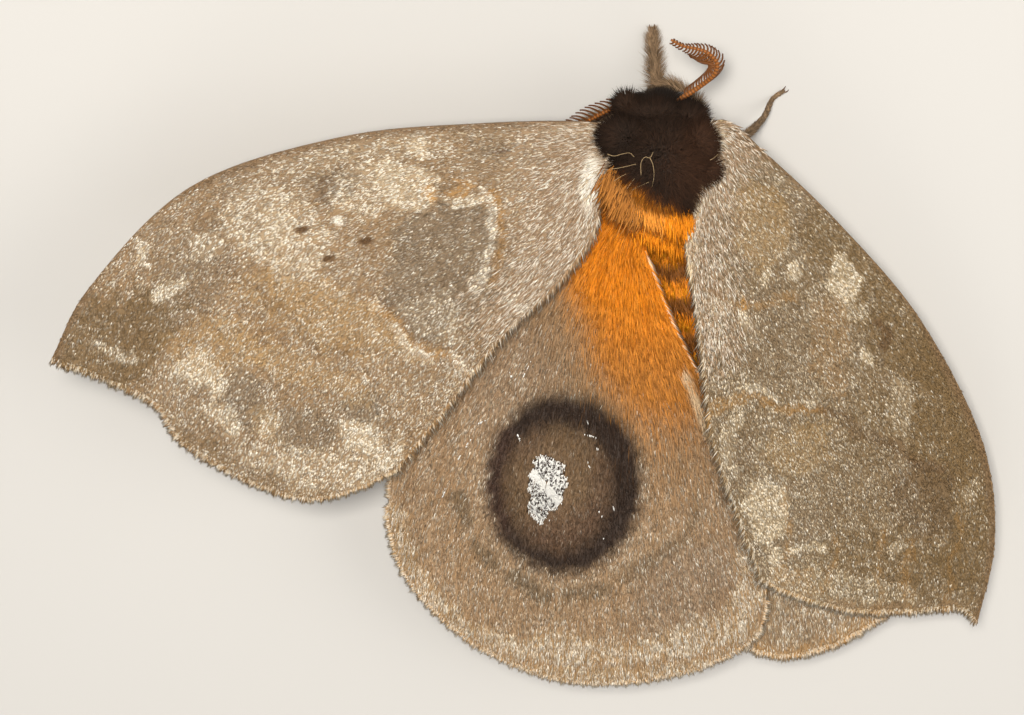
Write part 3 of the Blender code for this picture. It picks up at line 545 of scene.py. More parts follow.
def wing_frame(name, u, v):
    """Points, directions towards the margin and normals of a wing's upper face."""
    here = wing_point(name, u, v)
    out = wing_point(name, np.minimum(u + STEP, 1), v) - wing_point(name, np.maximum(u - STEP, 0), v)
    side = wing_point(name, u, np.minimum(v + STEP, 1)) - wing_point(name, u, np.maximum(v - STEP, 0))
    normal = unit(np.cross(out, side))
    normal *= np.where(normal[..., 2:] < 0, -1, 1)
    return here, unit(out), normal


def scattered(name, count, draw):
    """Random places (u, v) spread evenly over a wing's face."""
    u, v = np.meshgrid(*(np.linspace(0, 1, cells + 1) for cells in CELLS), indexing="ij")
    p = wing_point(name, u, v)
    area = np.linalg.norm(np.cross(p[1:, :-1] - p[:-1, :-1], p[:-1, 1:] - p[:-1, :-1]), axis=-1)
    i, j = np.divmod(draw.choice(area.size, count, p=area.ravel() / area.sum()), CELLS[1])
    return (i + draw.random(count)) / CELLS[0], (j + draw.random(count)) / CELLS[1]


# Meshes
def new_piece(name, slot, finish, vertices, faces, colours, uv=None):
    """A mesh from arrays, with its markings and, for a coat, the map that its colours are baked by."""
    mesh = bpy.data.meshes.new(name)
    mesh.vertices.add(len(vertices))
    mesh.vertices.foreach_set("co", metres(vertices).astype(np.float32).ravel())
    corners = np.asarray(faces, np.int32)
    mesh.loops.add(corners.size)
    mesh.loops.foreach_set("vertex_index", corners.ravel())
    mesh.polygons.add(len(corners))
    mesh.polygons.foreach_set("loop_start", np.arange(len(corners), dtype=np.int32) * corners.shape[1])
    mesh.polygons.foreach_set("loop_total", np.full(len(corners), corners.shape[1], np.int32))
    mesh.update(calc_edges=True)
    paint = mesh.color_attributes.new("markings", "FLOAT_COLOR", "POINT")
    opaque = np.column_stack((colours, np.ones(len(colours))))
    paint.data.foreach_set("color", opaque.astype(np.float32).ravel())
    if uv is not None:
        layer = mesh.uv_layers.new(name="OFBake")
        layer.data.foreach_set("uv", uv[corners.ravel()].astype(np.float32).ravel())
    mesh.validate()
    mesh.materials.append(finish)
    piece = bpy.data.objects.new(name, mesh)
    bpy.context.scene.collection.objects.link(piece)
    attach(piece, "root")
    return piece


TUFT_PATCH = 0.003           # across, on the map of a coat piece


def on_map(u, v):
    """Places on the map of a coat piece, clear of its edges."""
    return np.column_stack((u, v)) * 0.98 + 0.01


def tufts(name, slot, finish, root, lie, normal, length, width, lift, droop, colour, tip, uv, rings=1,
          sink=0.08):
    """Thin, closed, tapered tufts of hair or scales: a three-sided blade from each root along its lie."""
    count = len(root)
    lie = unit(lie - normal * np.sum(lie * normal, axis=1, keepdims=True))
    across = np.cross(lie, normal)
    length, width, lift, droop = (np.broadcast_to(x, count)[:, None] for x in (length, width, lift, droop))
    profile = {1: (1.0,), 2: (0.6, 1.0)}[rings]
    parts, maps, tints = [], [], []
    corner = np.array(((-0.5, 0.0), (0.5, 0.0), (0.0, 0.45)))
    for k, broad in enumerate(profile):
        t = k / rings
        middle = root + lie * length * t + normal * (length * (lift * t - droop * t * t) - sink * (k == 0))
        for a, b in corner:
            parts.append(middle + across * width * broad * a + normal * width * broad * b * 0.6)
            maps.append(uv + TUFT_PATCH * np.array((a, t - 0.5)))
            tints.append(colour + (tip - colour) * t)
    parts.append(root + lie * length + normal * length * (lift - droop))
    maps.append(uv + TUFT_PATCH * np.array((0, 0.5)))
    tints.append(tip)
    size = 3 * rings + 1
    faces = [(0, 1, 2)]
    for k in range(rings - 1):
        for a in range(3):
            b = (a + 1) % 3
            faces += [(3 * k + b, 3 * k + a, 3 * k + 3 + a), (3 * k + b, 3 * k + 3 + a, 3 * k + 3 + b)]
    last = 3 * (rings - 1)
    faces += [(last + (a + 1) % 3, last + a, size - 1) for a in range(3)]
    vertices = np.stack(parts, axis=1).reshape(-1, 3)
    spread = (np.array(faces)[None] + (np.arange(count) * size)[:, None, None]).reshape(-1, 3)
    new_piece(name, slot, finish, vertices, spread, np.stack(tints, axis=1).reshape(-1, 3),
              np.stack(maps, axis=1).reshape(-1, 2))


def tube(path, radii, sides, flat=1.0):
    """Vertices and faces of a closed round tube along a path, flattened in height by a share."""
    path = np.asarray(path, float)
    ahead = unit(np.gradient(path, axis=0))
    side = unit(np.cross(ahead, np.array((0.0, 0.0, 1.0)) + ahead[:, ::-1] * 0.001))
    top = np.cross(side, ahead)
    turn = np.arange(sides) * 2 * pi / sides
    radii = np.broadcast_to(radii, len(path))
    ring = side[:, None] * np.cos(turn)[None, :, None] + top[:, None] * np.sin(turn)[None, :, None] * flat
    vertices = (path[:, None] + ring * radii[:, None, None]).reshape(-1, 3)
    faces = []
    for k in range(len(path) - 1):
        for a in range(sides):
            b = (a + 1) % sides
            low, high = k * sides, (k + 1) * sides
            faces += [(low + a, low + b, high + b), (low + a, high + b, high + a)]
    ends = len(vertices)
    vertices = np.vstack((vertices, path[0], path[-1]))
    final = (len(path) - 1) * sides
    for a in range(sides):
        b = (a + 1) % sides
        faces += [(ends, b, a), (ends + 1, final + a, final + b)]
    return vertices, np.array(faces)


def joined(parts):
    """Several (vertices, faces, colours) as one."""
    vertices, faces, colours, base = [], [], [], 0
    for v, f, c in parts:
        vertices.append(v)
        faces.append(f + base)
        colours.append(np.broadcast_to(c, (len(v), 3)))
        base += len(v)
    return np.vstack(vertices), np.vstack(faces), np.vstack(colours)


# Materials
def new_node(finish, kind, **values):
    """A node with its values, whose names have _ for a space."""
    node = finish.node_tree.nodes.new("ShaderNode" + kind)
    for label, value in values.items():
        node.inputs[label.replace("_", " ")].default_value = value
    return node


def new_finish(name, **values):
    """A material, and its shader with the given values."""
    finish = bpy.data.materials.new(name)
    finish.use_nodes = True
    shader = finish.node_tree.nodes["Principled BSDF"]
    for label, value in values.items():
        shader.inputs[label.replace("_", " ")].default_value = value
    return finish, shader


def texture(finish, kind, size, **values):
    """A texture with grains of the given size, laid over the model's own places."""
    grain = new_node(finish, kind, Scale=1 / (size * MM), **values)
    finish.node_tree.links.new(new_node(finish, "TexCoord").outputs["Object"], grain.inputs["Vector"])
    return grain


def add_relief(finish, shader, height, strength, depth):
    """A relief that follows the height, as deep as given. Returns the node that makes it."""
    relief = new_node(finish, "Bump", Strength=strength, Distance=depth * MM)
    finish.node_tree.links.new(height, relief.inputs["Height"])
    finish.node_tree.links.new(relief.outputs["Normal"], shader.inputs["Normal"])
    return relief


def material(name, roughness, bump=0.0, bump_size=0.3, specular=0.5, mottle=0.12):
    """A finish that takes its colour from the markings, with fine mottling and relief."""
    finish, shader = new_finish(name, Roughness=roughness, Specular_IOR_Level=specular)
    links = finish.node_tree.links
    paint = new_node(finish, "Attribute")
    paint.attribute_name = "markings"
    grain = texture(finish, "TexNoise", bump_size, Detail=3)
    shade = new_node(finish, "MapRange", To_Min=1 - mottle, To_Max=1 + mottle)
    links.new(grain.outputs["Fac"], shade.inputs["Value"])
    tinted = new_node(finish, "VectorMath")
    tinted.operation = "SCALE"
    links.new(paint.outputs["Color"], tinted.inputs[0])
    links.new(shade.outputs["Result"], tinted.inputs["Scale"])
    links.new(tinted.outputs["Vector"], shader.inputs["Base Color"])
    if bump:
        add_relief(finish, shader, grain.outputs["Fac"], bump, 0.05)
    return finish


# Wings
WING_SKIN = material("wing_membrane", 0.8, bump=0.5, bump_size=0.12)
SCALES = material("wing_scales", 0.55, bump_size=0.5, specular=0.22, mottle=0.1)
FUR = material("fur", 0.65, bump_size=0.4, specular=0.15)
SKIN = material("body_skin", 0.85, bump=0.6, bump_size=0.15)
SKIN_GRID = (110, 80)        # points along and across a wing's skin
TOP_SCALES = dict(forewing_left=49500, forewing_right=49500, hindwing_left=49500, hindwing_right=20000)
UNDER_SCALES = 6500
FORE_SCALE = ((0.24, 0.42), (0.09, 0.15))            # least and greatest length and width
HIND_SCALE = ((0.38, 0.75), (0.06, 0.11))
UNDER_SCALE = ((0.8, 1.3), (0.26, 0.42))
CREAMINESS = dict(forewing_left=1.6, forewing_right=0.6, hindwing_left=1.2, hindwing_right=1.2)


def wing_skin(name):
    """The thin membrane that carries the scales, painted on top and plain below."""
    u, v = np.meshgrid(*(np.linspace(0, 1, count) for count in SKIN_GRID), indexing="ij")
    top = wing_point(name, u, v) - (0, 0, SKIN_UNDER)
    low = top - (0, 0, SKIN_THICK)
    total = u.size
    index = np.arange(total).reshape(u.shape)
    upper = np.stack((index[:-1, :-1], index[:-1, 1:], index[1:, 1:], index[1:, :-1]), axis=-1).reshape(-1, 4)
    rim = np.concatenate((index[0, :-1], index[:-1, -1], index[-1, :0:-1], index[:0:-1, 0]))
    if np.cross(top[1, 0] - top[0, 0], top[0, 1] - top[0, 0])[2] > 0:
        upper, rim = upper[:, ::-1], rim[::-1]
    after = np.roll(rim, -1)
    sides = np.stack((after, rim, rim + total, after + total), axis=-1)
    colour, white = MARKINGS[name](picture(top))
    # Painted shade: the skin shows only between the scales, so both its faces are darker than the scales
    colour = over(colour * 0.78, "cream", 0.12 * white)
    below, _ = under_side(picture(low))
    piece = new_piece(name + "_skin", name.split("_")[0], WING_SKIN,
                      np.vstack((top.reshape(-1, 3), low.reshape(-1, 3))),
                      np.vstack((upper, upper[:, ::-1] + total, sides)),
                      np.vstack((colour.reshape(-1, 3), below.reshape(-1, 3) * 0.8)))
    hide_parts(name)


def scale_coat(name, side, count, seed, paint, length, width):
    """Scales over one face of a wing, lying towards the margin: ground-coloured ones and white ones."""
    draw = np.random.default_rng(seed)
    u, v = scattered(name, count, draw)
    if side == "under":
        u, v = u * 0.97, 0.02 + v * 0.96
    root, out, normal = wing_frame(name, u, v)
    if side == "under":
        root = root - (0, 0, SKIN_UNDER + SKIN_THICK - 0.03)
        normal = -normal
    else:
        root = root - (0, 0, SKIN_UNDER - 0.055)
    seen = picture(root + out * np.mean(length) * 0.5)
    ground, white = paint(seen)
    clump = 0.45 + ease((0.6 * noise(seen, 2.7, 151) + 0.4 * noise(seen, 4.3, 152) - 0.3) / 0.4)
    white = np.clip(white * clump, 0, 1)
    level = draw.random(count) ** (0.2 + 1.7 * (1 - white) / (white + 0.06))
    level = level ** 1.5 * ease(white / 0.14)
    level = np.maximum(level, 0.42 * draw.random(count) ** 1.4 * ease(white / 0.25))
    pale = mix("white", "cream", draw.random((count, 1)) ** CREAMINESS[name])
    pale = pale * (1 - 0.3 * (1 - white[:, None]) * draw.random((count, 1)))
    colour = ground * draw.uniform(0.62, 1.22, (count, 1))
    colour = colour + (pale - colour) * level[:, None]
    swing = draw.normal(0, 0.2, count)
    across = np.cross(out, normal)
    lie = out * np.cos(swing)[:, None] + across * np.sin(swing)[:, None]
    long = draw.uniform(*length, count) * (1 - 0.35 * ease((u - 0.96) / 0.04))
    wide = draw.uniform(*width, count) * (1 + 0.2 * level)
    lift = 0.06 + 0.14 * level + draw.uniform(0, 0.09, count)
    tufts(f"{name}_{side}_scales", name.split("_")[0], SCALES, root, lie, normal, long, wide, lift, 0.1,
          colour, np.minimum(colour * 1.08, 1), on_map(u, v), sink=0.05)


PUPIL_DARK = (45, 50)        # half sizes of the patch that has dark scales between the white ones


def pupil_scales(count=5500):
    """The white middle of the eyespot: tiny white scales with dark ones between, one solid streak, and
    glints of the same white scales round about."""
    draw = np.random.default_rng(251)
    u, v = scattered("hindwing_left", count * 90, draw)
    seen = picture(wing_point("hindwing_left", u, v))
    frayed = ragged(seen, 3, 5, 87)
    inside = np.maximum(patch(frayed, *PUPIL[0], 0.3), patch(frayed, *PUPIL[1], 0.5))
    glints = np.max([along(seen, line, 0, 0.8) for line in GLINTS], axis=0)
    keep = np.flatnonzero(draw.random(len(u)) < np.maximum(inside, 0.3 * glints))[:count]
    u, v, seen = u[keep], v[keep], seen[keep]
    root, out, normal = wing_frame("hindwing_left", u, v)
    count = len(u)
    dots = ease((noise(seen, 1.5, 252) - 0.42) / 0.1)
    dots = 0.7 * dots * (1 - along(seen, PUPIL_STREAK, 2.5, 3)) * patch(seen, RING_CENTRE, PUPIL_DARK)
    colour = np.where((draw.random(count) < dots)[:, None], PAINT["ring"], PAINT["pupil"])
    tufts("pupil_scales", "hindwing", SCALES, root + normal * 0.06, out, normal,
          draw.uniform(0.12, 0.19, count), draw.uniform(0.09, 0.13, count), 0.2, 0.1, colour, colour,
          on_map(u, v))


FRINGE_PALE = dict(forewing_left=0.32, forewing_right=0.35, hindwing_left=0.5, hindwing_right=0.5)
FRINGE_TEETH = dict(forewing=44, hindwing=52)


def fringe(name, seed, count=5200):
    """Longer scales straight out from the outer margin, in fine teeth, and short ones along the other
    edges, but for the hair along the rear edges of the left hindwing and of the forewings."""
    draw = np.random.default_rng(seed)
    slot = name.split("_")[0]
    outer = np.arange(count) < count * 6 // 10
    many = count - outer.sum()
    u = np.concatenate((1.0 - draw.uniform(0, 0.008, outer.sum()), draw.random(many)))
    v = np.concatenate((draw.random(outer.sum()), draw.choice((0.004, 0.996), many)))
    root, out, normal = wing_frame(name, u, v)
    rim = wing_point(name, u, np.minimum(v + 0.01, 1)) - wing_point(name, u, np.maximum(v - 0.01, 0))
    square = unit(np.cross(rim, normal))
    square *= np.sign(np.sum(square * out, axis=1, keepdims=True))
    inward = wing_point(name, u, np.clip(v, 0.06, 0.94)) - root
    away = unit(np.where(outer[:, None], square + out * 0.25, out - unit(inward) * 0.1))
    root = root - normal * draw.uniform(0.03, 0.17, (count, 1))
    ground, _ = MARKINGS[name](picture(root - away * 0.5))
    tooth = 0.5 + 0.5 * np.cos(2 * pi * v * FRINGE_TEETH[slot])
    long = np.where(outer, draw.uniform(0.3, 0.5, count) + 0.28 * tooth, draw.uniform(0.25, 0.4, count))
    rear = ~outer & (v > 0.5)
    if name == "hindwing_left":
        long = np.where(rear, long * 3.2, long)
        away = np.where(rear[:, None], unit(out * 0.9 - unit(inward) * 0.35 - (0, 0, 0.12)), away)
    elif slot == "forewing":
        long = np.where(rear, long * draw.uniform(2.2, 4.2, count), long)
        turned = draw.uniform(0.15, 0.85, (count, 1))
        away = np.where(rear[:, None], unit(out * 0.8 - unit(inward) * turned - (0, 0, 0.2)), away)
    pale = draw.random(count) < np.where(outer, FRINGE_PALE[name] + 0.35 * tooth, 0.4 * rear)
    # Lifted above the ground: partly the fringe's paler tan, partly painted light against shade at the edge
    colour = ground * draw.uniform(0.95, 1.35, (count, 1))
    bright = mix("cream", "white", draw.random((count, 1)))
    tip = np.where(pale[:, None], bright * draw.uniform(0.7, 1.0, (count, 1)), colour)
    colour = np.where(pale[:, None], (colour + tip) / 2, colour)
    lie = away + np.cross(away, normal) * draw.normal(0, 0.12, (count, 1)) * outer[:, None]
    tufts(f"{name}_fringe", slot, SCALES, root, lie, normal, long, draw.uniform(0.1, 0.16, count),
          draw.uniform(-0.1, 0.12, count) * outer, 0.0, colour, np.minimum(tip, 1), on_map(u, v), sink=0)


def wing_hair(name, seed, count, region, length, width, colours, spread=0.12, lift=0.16):
    """Long hair over part of a wing, from its base outwards. The region gives each place's share."""
    draw = np.random.default_rng(seed)
    u, v = scattered(name, count * 6, draw)
    seen = picture(wing_point(name, u, v))
    keep = np.flatnonzero(draw.random(len(u)) < region(seen))[:count]
    u, v, seen = u[keep], v[keep], seen[keep]
    root, out, normal = wing_frame(name, u, v)
    count = len(u)
    margin = np.linalg.norm(wing_point(name, np.ones(count), v) - root, axis=1)
    long = np.minimum(draw.uniform(*length, count), margin + 0.3)
    seen = picture(root + out * long[:, None] * 0.5)
    ground, _ = MARKINGS[name](seen)
    colour = colours(draw, seen, ground)
    lie = out + np.cross(out, normal) * draw.normal(0, spread, (count, 1))
    tufts(f"{name}_hair_{seed}", name.split("_")[0], FUR, root - (0, 0, 0.04), lie, normal, long,
          draw.uniform(*width, count), lift + draw.uniform(-0.05, 0.08, count), lift + 0.02, colour,
          np.minimum(colour * 1.25, 1), on_map(u, v), rings=2)


def orange_hair(draw, seen, ground):
    """Like the ground, with gold hairs here and there: painted highlights on the hair."""
    gold = 0.5 * (draw.random(len(seen)) < 0.25) * patch(seen, (640, 290), (80, 160), -12, 0.9)
    return over(ground * draw.uniform(0.78, 1.12, (len(seen), 1)), "gold", gold)


def pale_hair(draw, seen, ground):
    """White at the very base of the left wing, and beige with lighter ones between elsewhere."""
    bright = patch(seen, (590, 183), (11, 28), 6, 0.8)
    lit = bright * draw.uniform(0.7, 1, len(seen))
    share = np.maximum(lit, 0.85 * draw.random(len(seen)) ** 2.6)[:, None]
    return PAINT["warm"] * (1 - share) * draw.uniform(0.8, 1.1, (len(seen), 1)) + PAINT["white"] * share


def band_hair(draw, seen, ground):
    """Cream and white, with some of the ground's colour."""
    share = (0.25 + 0.75 * draw.random(len(seen)) ** 1.2)[:, None]
    return ground * (1 - share) + PAINT["white"] * share * draw.uniform(0.6, 0.95, (len(seen), 1))


def near_edge(line, reach):
    """A region for hair: all of it on a line of the picture, fading over so many pixels beside it."""
    return lambda seen: along(seen, line, 0, reach)


LEFT_HEM = ((600, 130), (598, 170), (588, 240), (573, 265), (549, 293), (525, 320))
RIGHT_HEM = ((722, 128), (705, 160), (694, 195), (688, 235), (690, 280), (698, 330))


def band_share(seen):
    """The hindwing's pale band and the rest of its rim: the more, the more white scales are there."""
    _, white = hindwing(seen)
    return ease((white - 0.42) / 0.4)


def hindwing_share(seen):
    """Most at the hindwing's base, a little elsewhere, and very little on the eyespot."""
    eyespot = patch(seen, RING_CENTRE, (88, 102), 0, 0.2)
    return (0.1 + patch(seen, (635, 300), (85, 160), -12, 0.9)) * (1 - 0.85 * eyespot)


for number, wing in enumerate(WINGS):
    wing_skin(wing)
    scale_coat(wing, "top", TOP_SCALES[wing], 200 + number, MARKINGS[wing],
               *(FORE_SCALE if wing.startswith("fore") else HIND_SCALE))
    scale_coat(wing, "under", UNDER_SCALES, 220 + number, under_side, *UNDER_SCALE)
    fringe(wing, 240 + number)

pupil_scales()
wing_hair("hindwing_left", 261, 12000, hindwing_share, (1.3, 2.8), (0.045, 0.08), orange_hair, 0.06, 0.1)
wing_hair("hindwing_left", 264, 3600, band_share, (0.5, 1.0), (0.05, 0.085), band_hair, 0.12, 0.14)
wing_hair("forewing_left", 262, 7000, near_edge(LEFT_HEM, 75), (0.7, 1.4), (0.05, 0.08), pale_hair, 0.16)
wing_hair("forewing_right", 263, 7000, near_edge(RIGHT_HEM, 65), (0.7, 1.3), (0.05, 0.08), pale_hair, 0.16)


# Body
def tucked(p):
    """Points of the thorax's ellipsoid, drawn back where they lie below and ahead of its middle."""
    d = p - np.array(THORAX)
    pull = np.where((d[..., 2] < 0) & (d[..., 1] > 0), 1 + THORAX_TUCK * d[..., 2] / THORAX_HALF[2], 1)
    return np.array(THORAX) + np.stack((d[..., 0], d[..., 1] * pull, d[..., 2]), axis=-1)


def ball(centre, half, segments=48, rings=32):
    """Vertices and faces of an ellipsoid, sorted, as the sphere tool's own order changes from run to run."""
    cage = bmesh.new()
    bmesh.ops.create_uvsphere(cage, u_segments=segments, v_segments=rings, radius=1)
    bmesh.ops.triangulate(cage, faces=cage.faces)
    corners = np.array([[v.co[:] for v in f.verts] for f in cage.faces])
    cage.free()
    vertices, faces = np.unique(corners.reshape(-1, 3), axis=0, return_inverse=True)
    faces = faces.reshape(-1, 3)
    start = np.argmin(faces, axis=1)[:, None]
    faces = np.take_along_axis(faces, (start + np.arange(3)) % 3, axis=1)
    return vertices * half + centre, faces[np.lexsort(faces.T[::-1])]


def abdomen_rings(count):
    """Middles and half widths along the abdomen, without its coat."""
    path = through(ABDOMEN_AXIS, count)
    share = np.linspace(0, 1, len(ABDOMEN_HALF_WIDTHS))
    widths = np.interp(np.linspace(0, 1, count), share, ABDOMEN_HALF_WIDTHS) - BELLY_COAT
    return path, widths


BAND_PLACES = (7.75, 4.6, 1.1, -2.3, -5.3)
BAND_HALF = 0.78


def belly_colour(p):
    """Orange, with a brown band across the back of each segment and a browner underside."""
    wobble = noise(p[..., :2], 0.8, 131) * 0.8 - 0.4
    colour = over(plain(p, "orange"), "deep_orange", 0.5 * noise(p[..., :2], 0.5, 132))
    for place in BAND_PLACES:
        away = np.abs(p[..., 1] + wobble - place)
        colour = over(colour, "band", 0.92 * ease((BAND_HALF + 0.35 - away) / 0.5))
    return over(colour, "wing_brown", 0.35 * ease((3.4 - p[..., 2]) / 1.5))


def pile_colour(p):
    """Brown-black, redder to the rear right, and orange where it ends over the abdomen."""
    seen = picture(p)
    colour = over(plain(p, "pile"), "pile_red", 0.3 * noise(seen, 14, 141))
    colour = over(colour, "pile_red", 0.6 * patch(seen, (700, 160), (26, 44), 20, 0.9))
    q = ragged(seen, 5, 8, 143)
    past = (q[..., 1] - 168) - (q[..., 0] - 606) * 0.56
    colour = over(colour, "horn_dark", ease((past + 9) / 10))
    colour = over(colour, "orange", ease((past - 1) / 9))
    # Gold over the rear ends: partly their own yellow, partly painted light on tufts that face away from the
    # lamps
    colour = over(colour, "gold", 0.8 * ease((past - 4) / 8))
    beside = ease((seen[..., 0] - 700 + 0.3 * (seen[..., 1] - 184)) / 3) * ease((seen[..., 1] - 184) / 3)
    return over(colour, "warm", 0.9 * beside)


CLAW = ((0.0, 0.08, 0.0), (0.16, 0.16, 0.1), (0.34, 0.2, 0.02), (0.42, 0.2, -0.12))   # ahead, aside, up


def claws(before, tip):
    """The pair of small dark claws at the end of a foot."""
    ahead = unit(np.array(tip) - np.array(before))
    aside = unit(np.cross(ahead, (0, 0, 1)))
    pair = []
    for side in (-1, 1):
        path = np.array([np.array(tip) + ahead * a + aside * side * b + (0, 0, c) for a, b, c in CLAW])
        vertices, faces = tube(through(path, 9), np.linspace(0.07, 0.02, 9), 6)
        vertices[:, 2] = np.maximum(vertices[:, 2], 0.01)
        pair.append((vertices, faces, PAINT["horn_dark"]))
    return pair


def leg_radii(name):
    """The forelegs are stouter towards the foot."""
    return FORELEG_RADII if name.startswith("fore") else LEG_RADII


def leg_points(points):
    """A leg's points, with the height of the foot's, which is the same for all."""
    return [p if len(p) == 3 else (*p, FOOT_HEIGHT) for p in points]


def beside_head(side, place):
    """A place given from the middle of the head, on one of its sides."""
    return np.array(HEAD) + (side * place[0], place[1], place[2])


def body_skin():
    """One skin for head, thorax, abdomen, legs and palps, under their coats."""
    core, core_faces = ball(THORAX, THORAX_HALF)
    core = tucked(core)
    path, widths = abdomen_rings(70)
    belly, belly_faces = tube(path, widths, 36, ABDOMEN_FLAT)
    parts = [(core, core_faces, pile_colour(core)),
             (*ball(HEAD, np.array(HEAD_HALF) - HEAD_COAT), PAINT["pile"]),
             (belly, belly_faces, belly_colour(belly))]
    for side in (-1, 1):
        points = [beside_head(side, place) for place in PALP]
        radii = np.interp(np.linspace(0, 1, 10), (0, 0.5, 1), PALP_RADII)
        parts.append((*tube(through(points, 10), radii, 12), PAINT["limb"]))
    for name, points in LEGS.items():
        points = leg_points(points)
        steps = np.linspace(0, 1, 60)
        radii = np.interp(steps, np.linspace(0, 1, 6), leg_radii(name))
        radii = radii * (1 - 0.22 * (steps > 0.62) * (np.cos(steps * 2 * pi * FOOT_JOINTS) > 0.6))
        vertices, faces = tube(through(points, 60), radii, 14)
        vertices[:, 2] = np.maximum(vertices[:, 2], 0)
        parts.append((vertices, faces, PAINT["limb"] * 0.8))
        parts += claws(points[-2], points[-1])
    piece = new_piece("body_skin", "pile", SKIN, *joined(parts))
    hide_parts("head", "thorax", "abdomen", "palp_left", "palp_right", *LEGS)


def round_map(out):
    """Places on the map of a coat piece for directions around a ball."""
    return on_map(np.arctan2(out[:, 1], out[:, 0]) / (2 * pi) + 0.5, out[:, 2] * 0.5 + 0.5)


def spread_ball(count, lowest=-1.0):
    """Even directions over a ball, above a lowest height."""
    k = np.arange(count)
    level = 1 - (1 - lowest) * (k + 0.5) / count
    turn = k * pi * (3 - 5 ** 0.5)
    ring = np.sqrt(1 - level * level)
    return np.column_stack((ring * np.cos(turn), ring * np.sin(turn), level))


SHOULDERS = (((9.1, 20.2, 8.9), (2.5, 2.0, 1.5)), ((15.3, 19.6, 8.6), (1.7, 2.4, 1.5)),
             ((11.4, 21.8, 7.5), (3.3, 1.3, 1.6)), ((14.4, 21.3, 7.2), (1.9, 1.3, 1.6)),
             ((9.5, 22.3, 7.3), (1.0, 1.0, 1.0)), ((15.8, 17.4, 8.3), (1.5, 1.4, 1.2)))


def thorax_coat(count=19000):
    """Dense upright plush over the thorax, with the fuller tufts of its shoulders and neck."""
    draw = np.random.default_rng(301)
    out = unit(spread_ball(count, -0.75) + draw.normal(0, 0.02, (count, 3)))
    roots, normals = [tucked(np.array(THORAX) + out * THORAX_HALF)], [unit(out / np.array(THORAX_HALF))]
    for centre, half in SHOULDERS:
        out = spread_ball(int(330 * (half[0] + 1) * (half[1] + 1)), -0.35)
        place = np.array(centre) + out * half * 0.55
        outside = np.linalg.norm((place - THORAX) / THORAX_HALF, axis=1) > 0.97
        roots.append(place[outside])
        normals.append(unit(out / np.array(half))[outside])
    root, normal = np.vstack(roots), np.vstack(normals)
    count = len(root)
    lie = (root - (np.array(THORAX) + (*CROWN, THORAX_HALF[2]))) * 0.5 + draw.normal(0, 1.0, (count, 3))
    colour = pile_colour(root + normal * 0.8)
    loose = ease((colour[:, 0] - PAINT["pile_red"][0]) / 0.25)[:, None]
    shade = draw.uniform(0.55, 1.3, (count, 1)) * (1 - loose)
    colour = colour * (shade + draw.uniform(0.8, 1.15, (count, 1)) * loose)
    tip = np.minimum(colour * draw.uniform(0.9, 1.6, (count, 1)), 1)
    back = np.array((0.1, -1.0, -0.35)) + draw.normal(0, 0.12, (count, 3))
    lie = lie * (1 - loose) + back * 2 * loose
    long = draw.uniform(0.7, 1.0, count) * (1 + 1.1 * loose[:, 0])
    lift = draw.uniform(1.0, 1.6, count) * (1 - 0.75 * loose[:, 0])
    tufts("thorax_pile", "pile", FUR, root, lie, normal, long, draw.uniform(0.08, 0.13, count), lift, 0.2,
          colour, tip, round_map(normal), sink=0.15)


RUMP_LINES = (((8.3, 16.6, 9.4), (10.4, 15.2, 9.7), (12.6, 14.1, 9.5), (14.7, 13.2, 9.1)),
              ((8.6, 15.4, 8.8), (10.6, 13.4, 9.0), (12.6, 12.1, 8.5), (14.6, 11.4, 8.1)),
              ((8.0, 17.3, 9.9), (8.6, 16.3, 10.1), (9.6, 15.2, 9.9), (10.8, 14.2, 9.6)))


def rump_tufts(count=3600):
    """Long orange hair from the rear of the thorax over the abdomen and the hindwing's base."""
    draw = np.random.default_rng(302)
    share = draw.random(count)
    which = draw.choice(3, count, p=(0.42, 0.38, 0.2))
    first, wing = which == 0, which == 2
    lines = np.array([through(line, 50) for line in RUMP_LINES])
    root = lines[which, (share * 49).astype(int)] + draw.normal(0, 0.35, (count, 3)) * (1, 1.3, 0.3)
    normal = unit(np.array((0.0, -0.25, 1.0)) + draw.normal(0, 0.1, (count, 3)))
    lie = np.array((0.1, -1.0, -0.38)) + draw.normal(0, 0.12, (count, 3))
    lie[wing, 0] -= 0.45
    colour = PAINT["orange"] * draw.uniform(0.8, 1.25, (count, 1))
    light = first & (np.abs(share - 0.5) < 0.2)
    colour[light] = PAINT["gold"] * draw.uniform(0.9, 1.2, (int(light.sum()), 1))
    colour[wing] = PAINT["gold_brown"] * draw.uniform(0.75, 1.15, (int(wing.sum()), 1))
    dark = first & ~light & (draw.random(count) < 0.3 * (1 - share) ** 0.7)
    dark |= wing & (draw.random(count) < 0.2)
    colour[dark] = PAINT["horn_dark"]
    tip = np.minimum(colour * 1.25, 1)
    tip[dark] = mix("horn", "gold", draw.random((int(dark.sum()), 1)))
    uv = on_map(share, 0.5 + 0.3 * draw.random(count))
    tufts("rump_tufts", "belly", FUR, root, lie, normal, draw.uniform(1.6, 3.2, count),
          draw.uniform(0.07, 0.11, count), draw.uniform(0.05, 0.25, count), 0.3, colour, tip, uv, rings=2)


CURLS = (((607, 154), (614, 156), (622, 154), (630, 153), (634, 157)),
         ((611, 169), (619, 168), (628, 166), (636, 164)),
         ((641, 175), (641, 163), (645, 157), (650, 158), (653, 152)),
         ((650, 158), (653, 165), (654, 176), (652, 187)),
         ((614, 181), (620, 177), (626, 174)), ((627, 189), (631, 183), (635, 178)),
         ((632, 190), (640, 186), (649, 182)), ((710, 160), (714, 158), (718, 154)))
CURL_TOP = (655, 150)        # where the curled hairs are highest
CURL_HEIGHT = 12.3


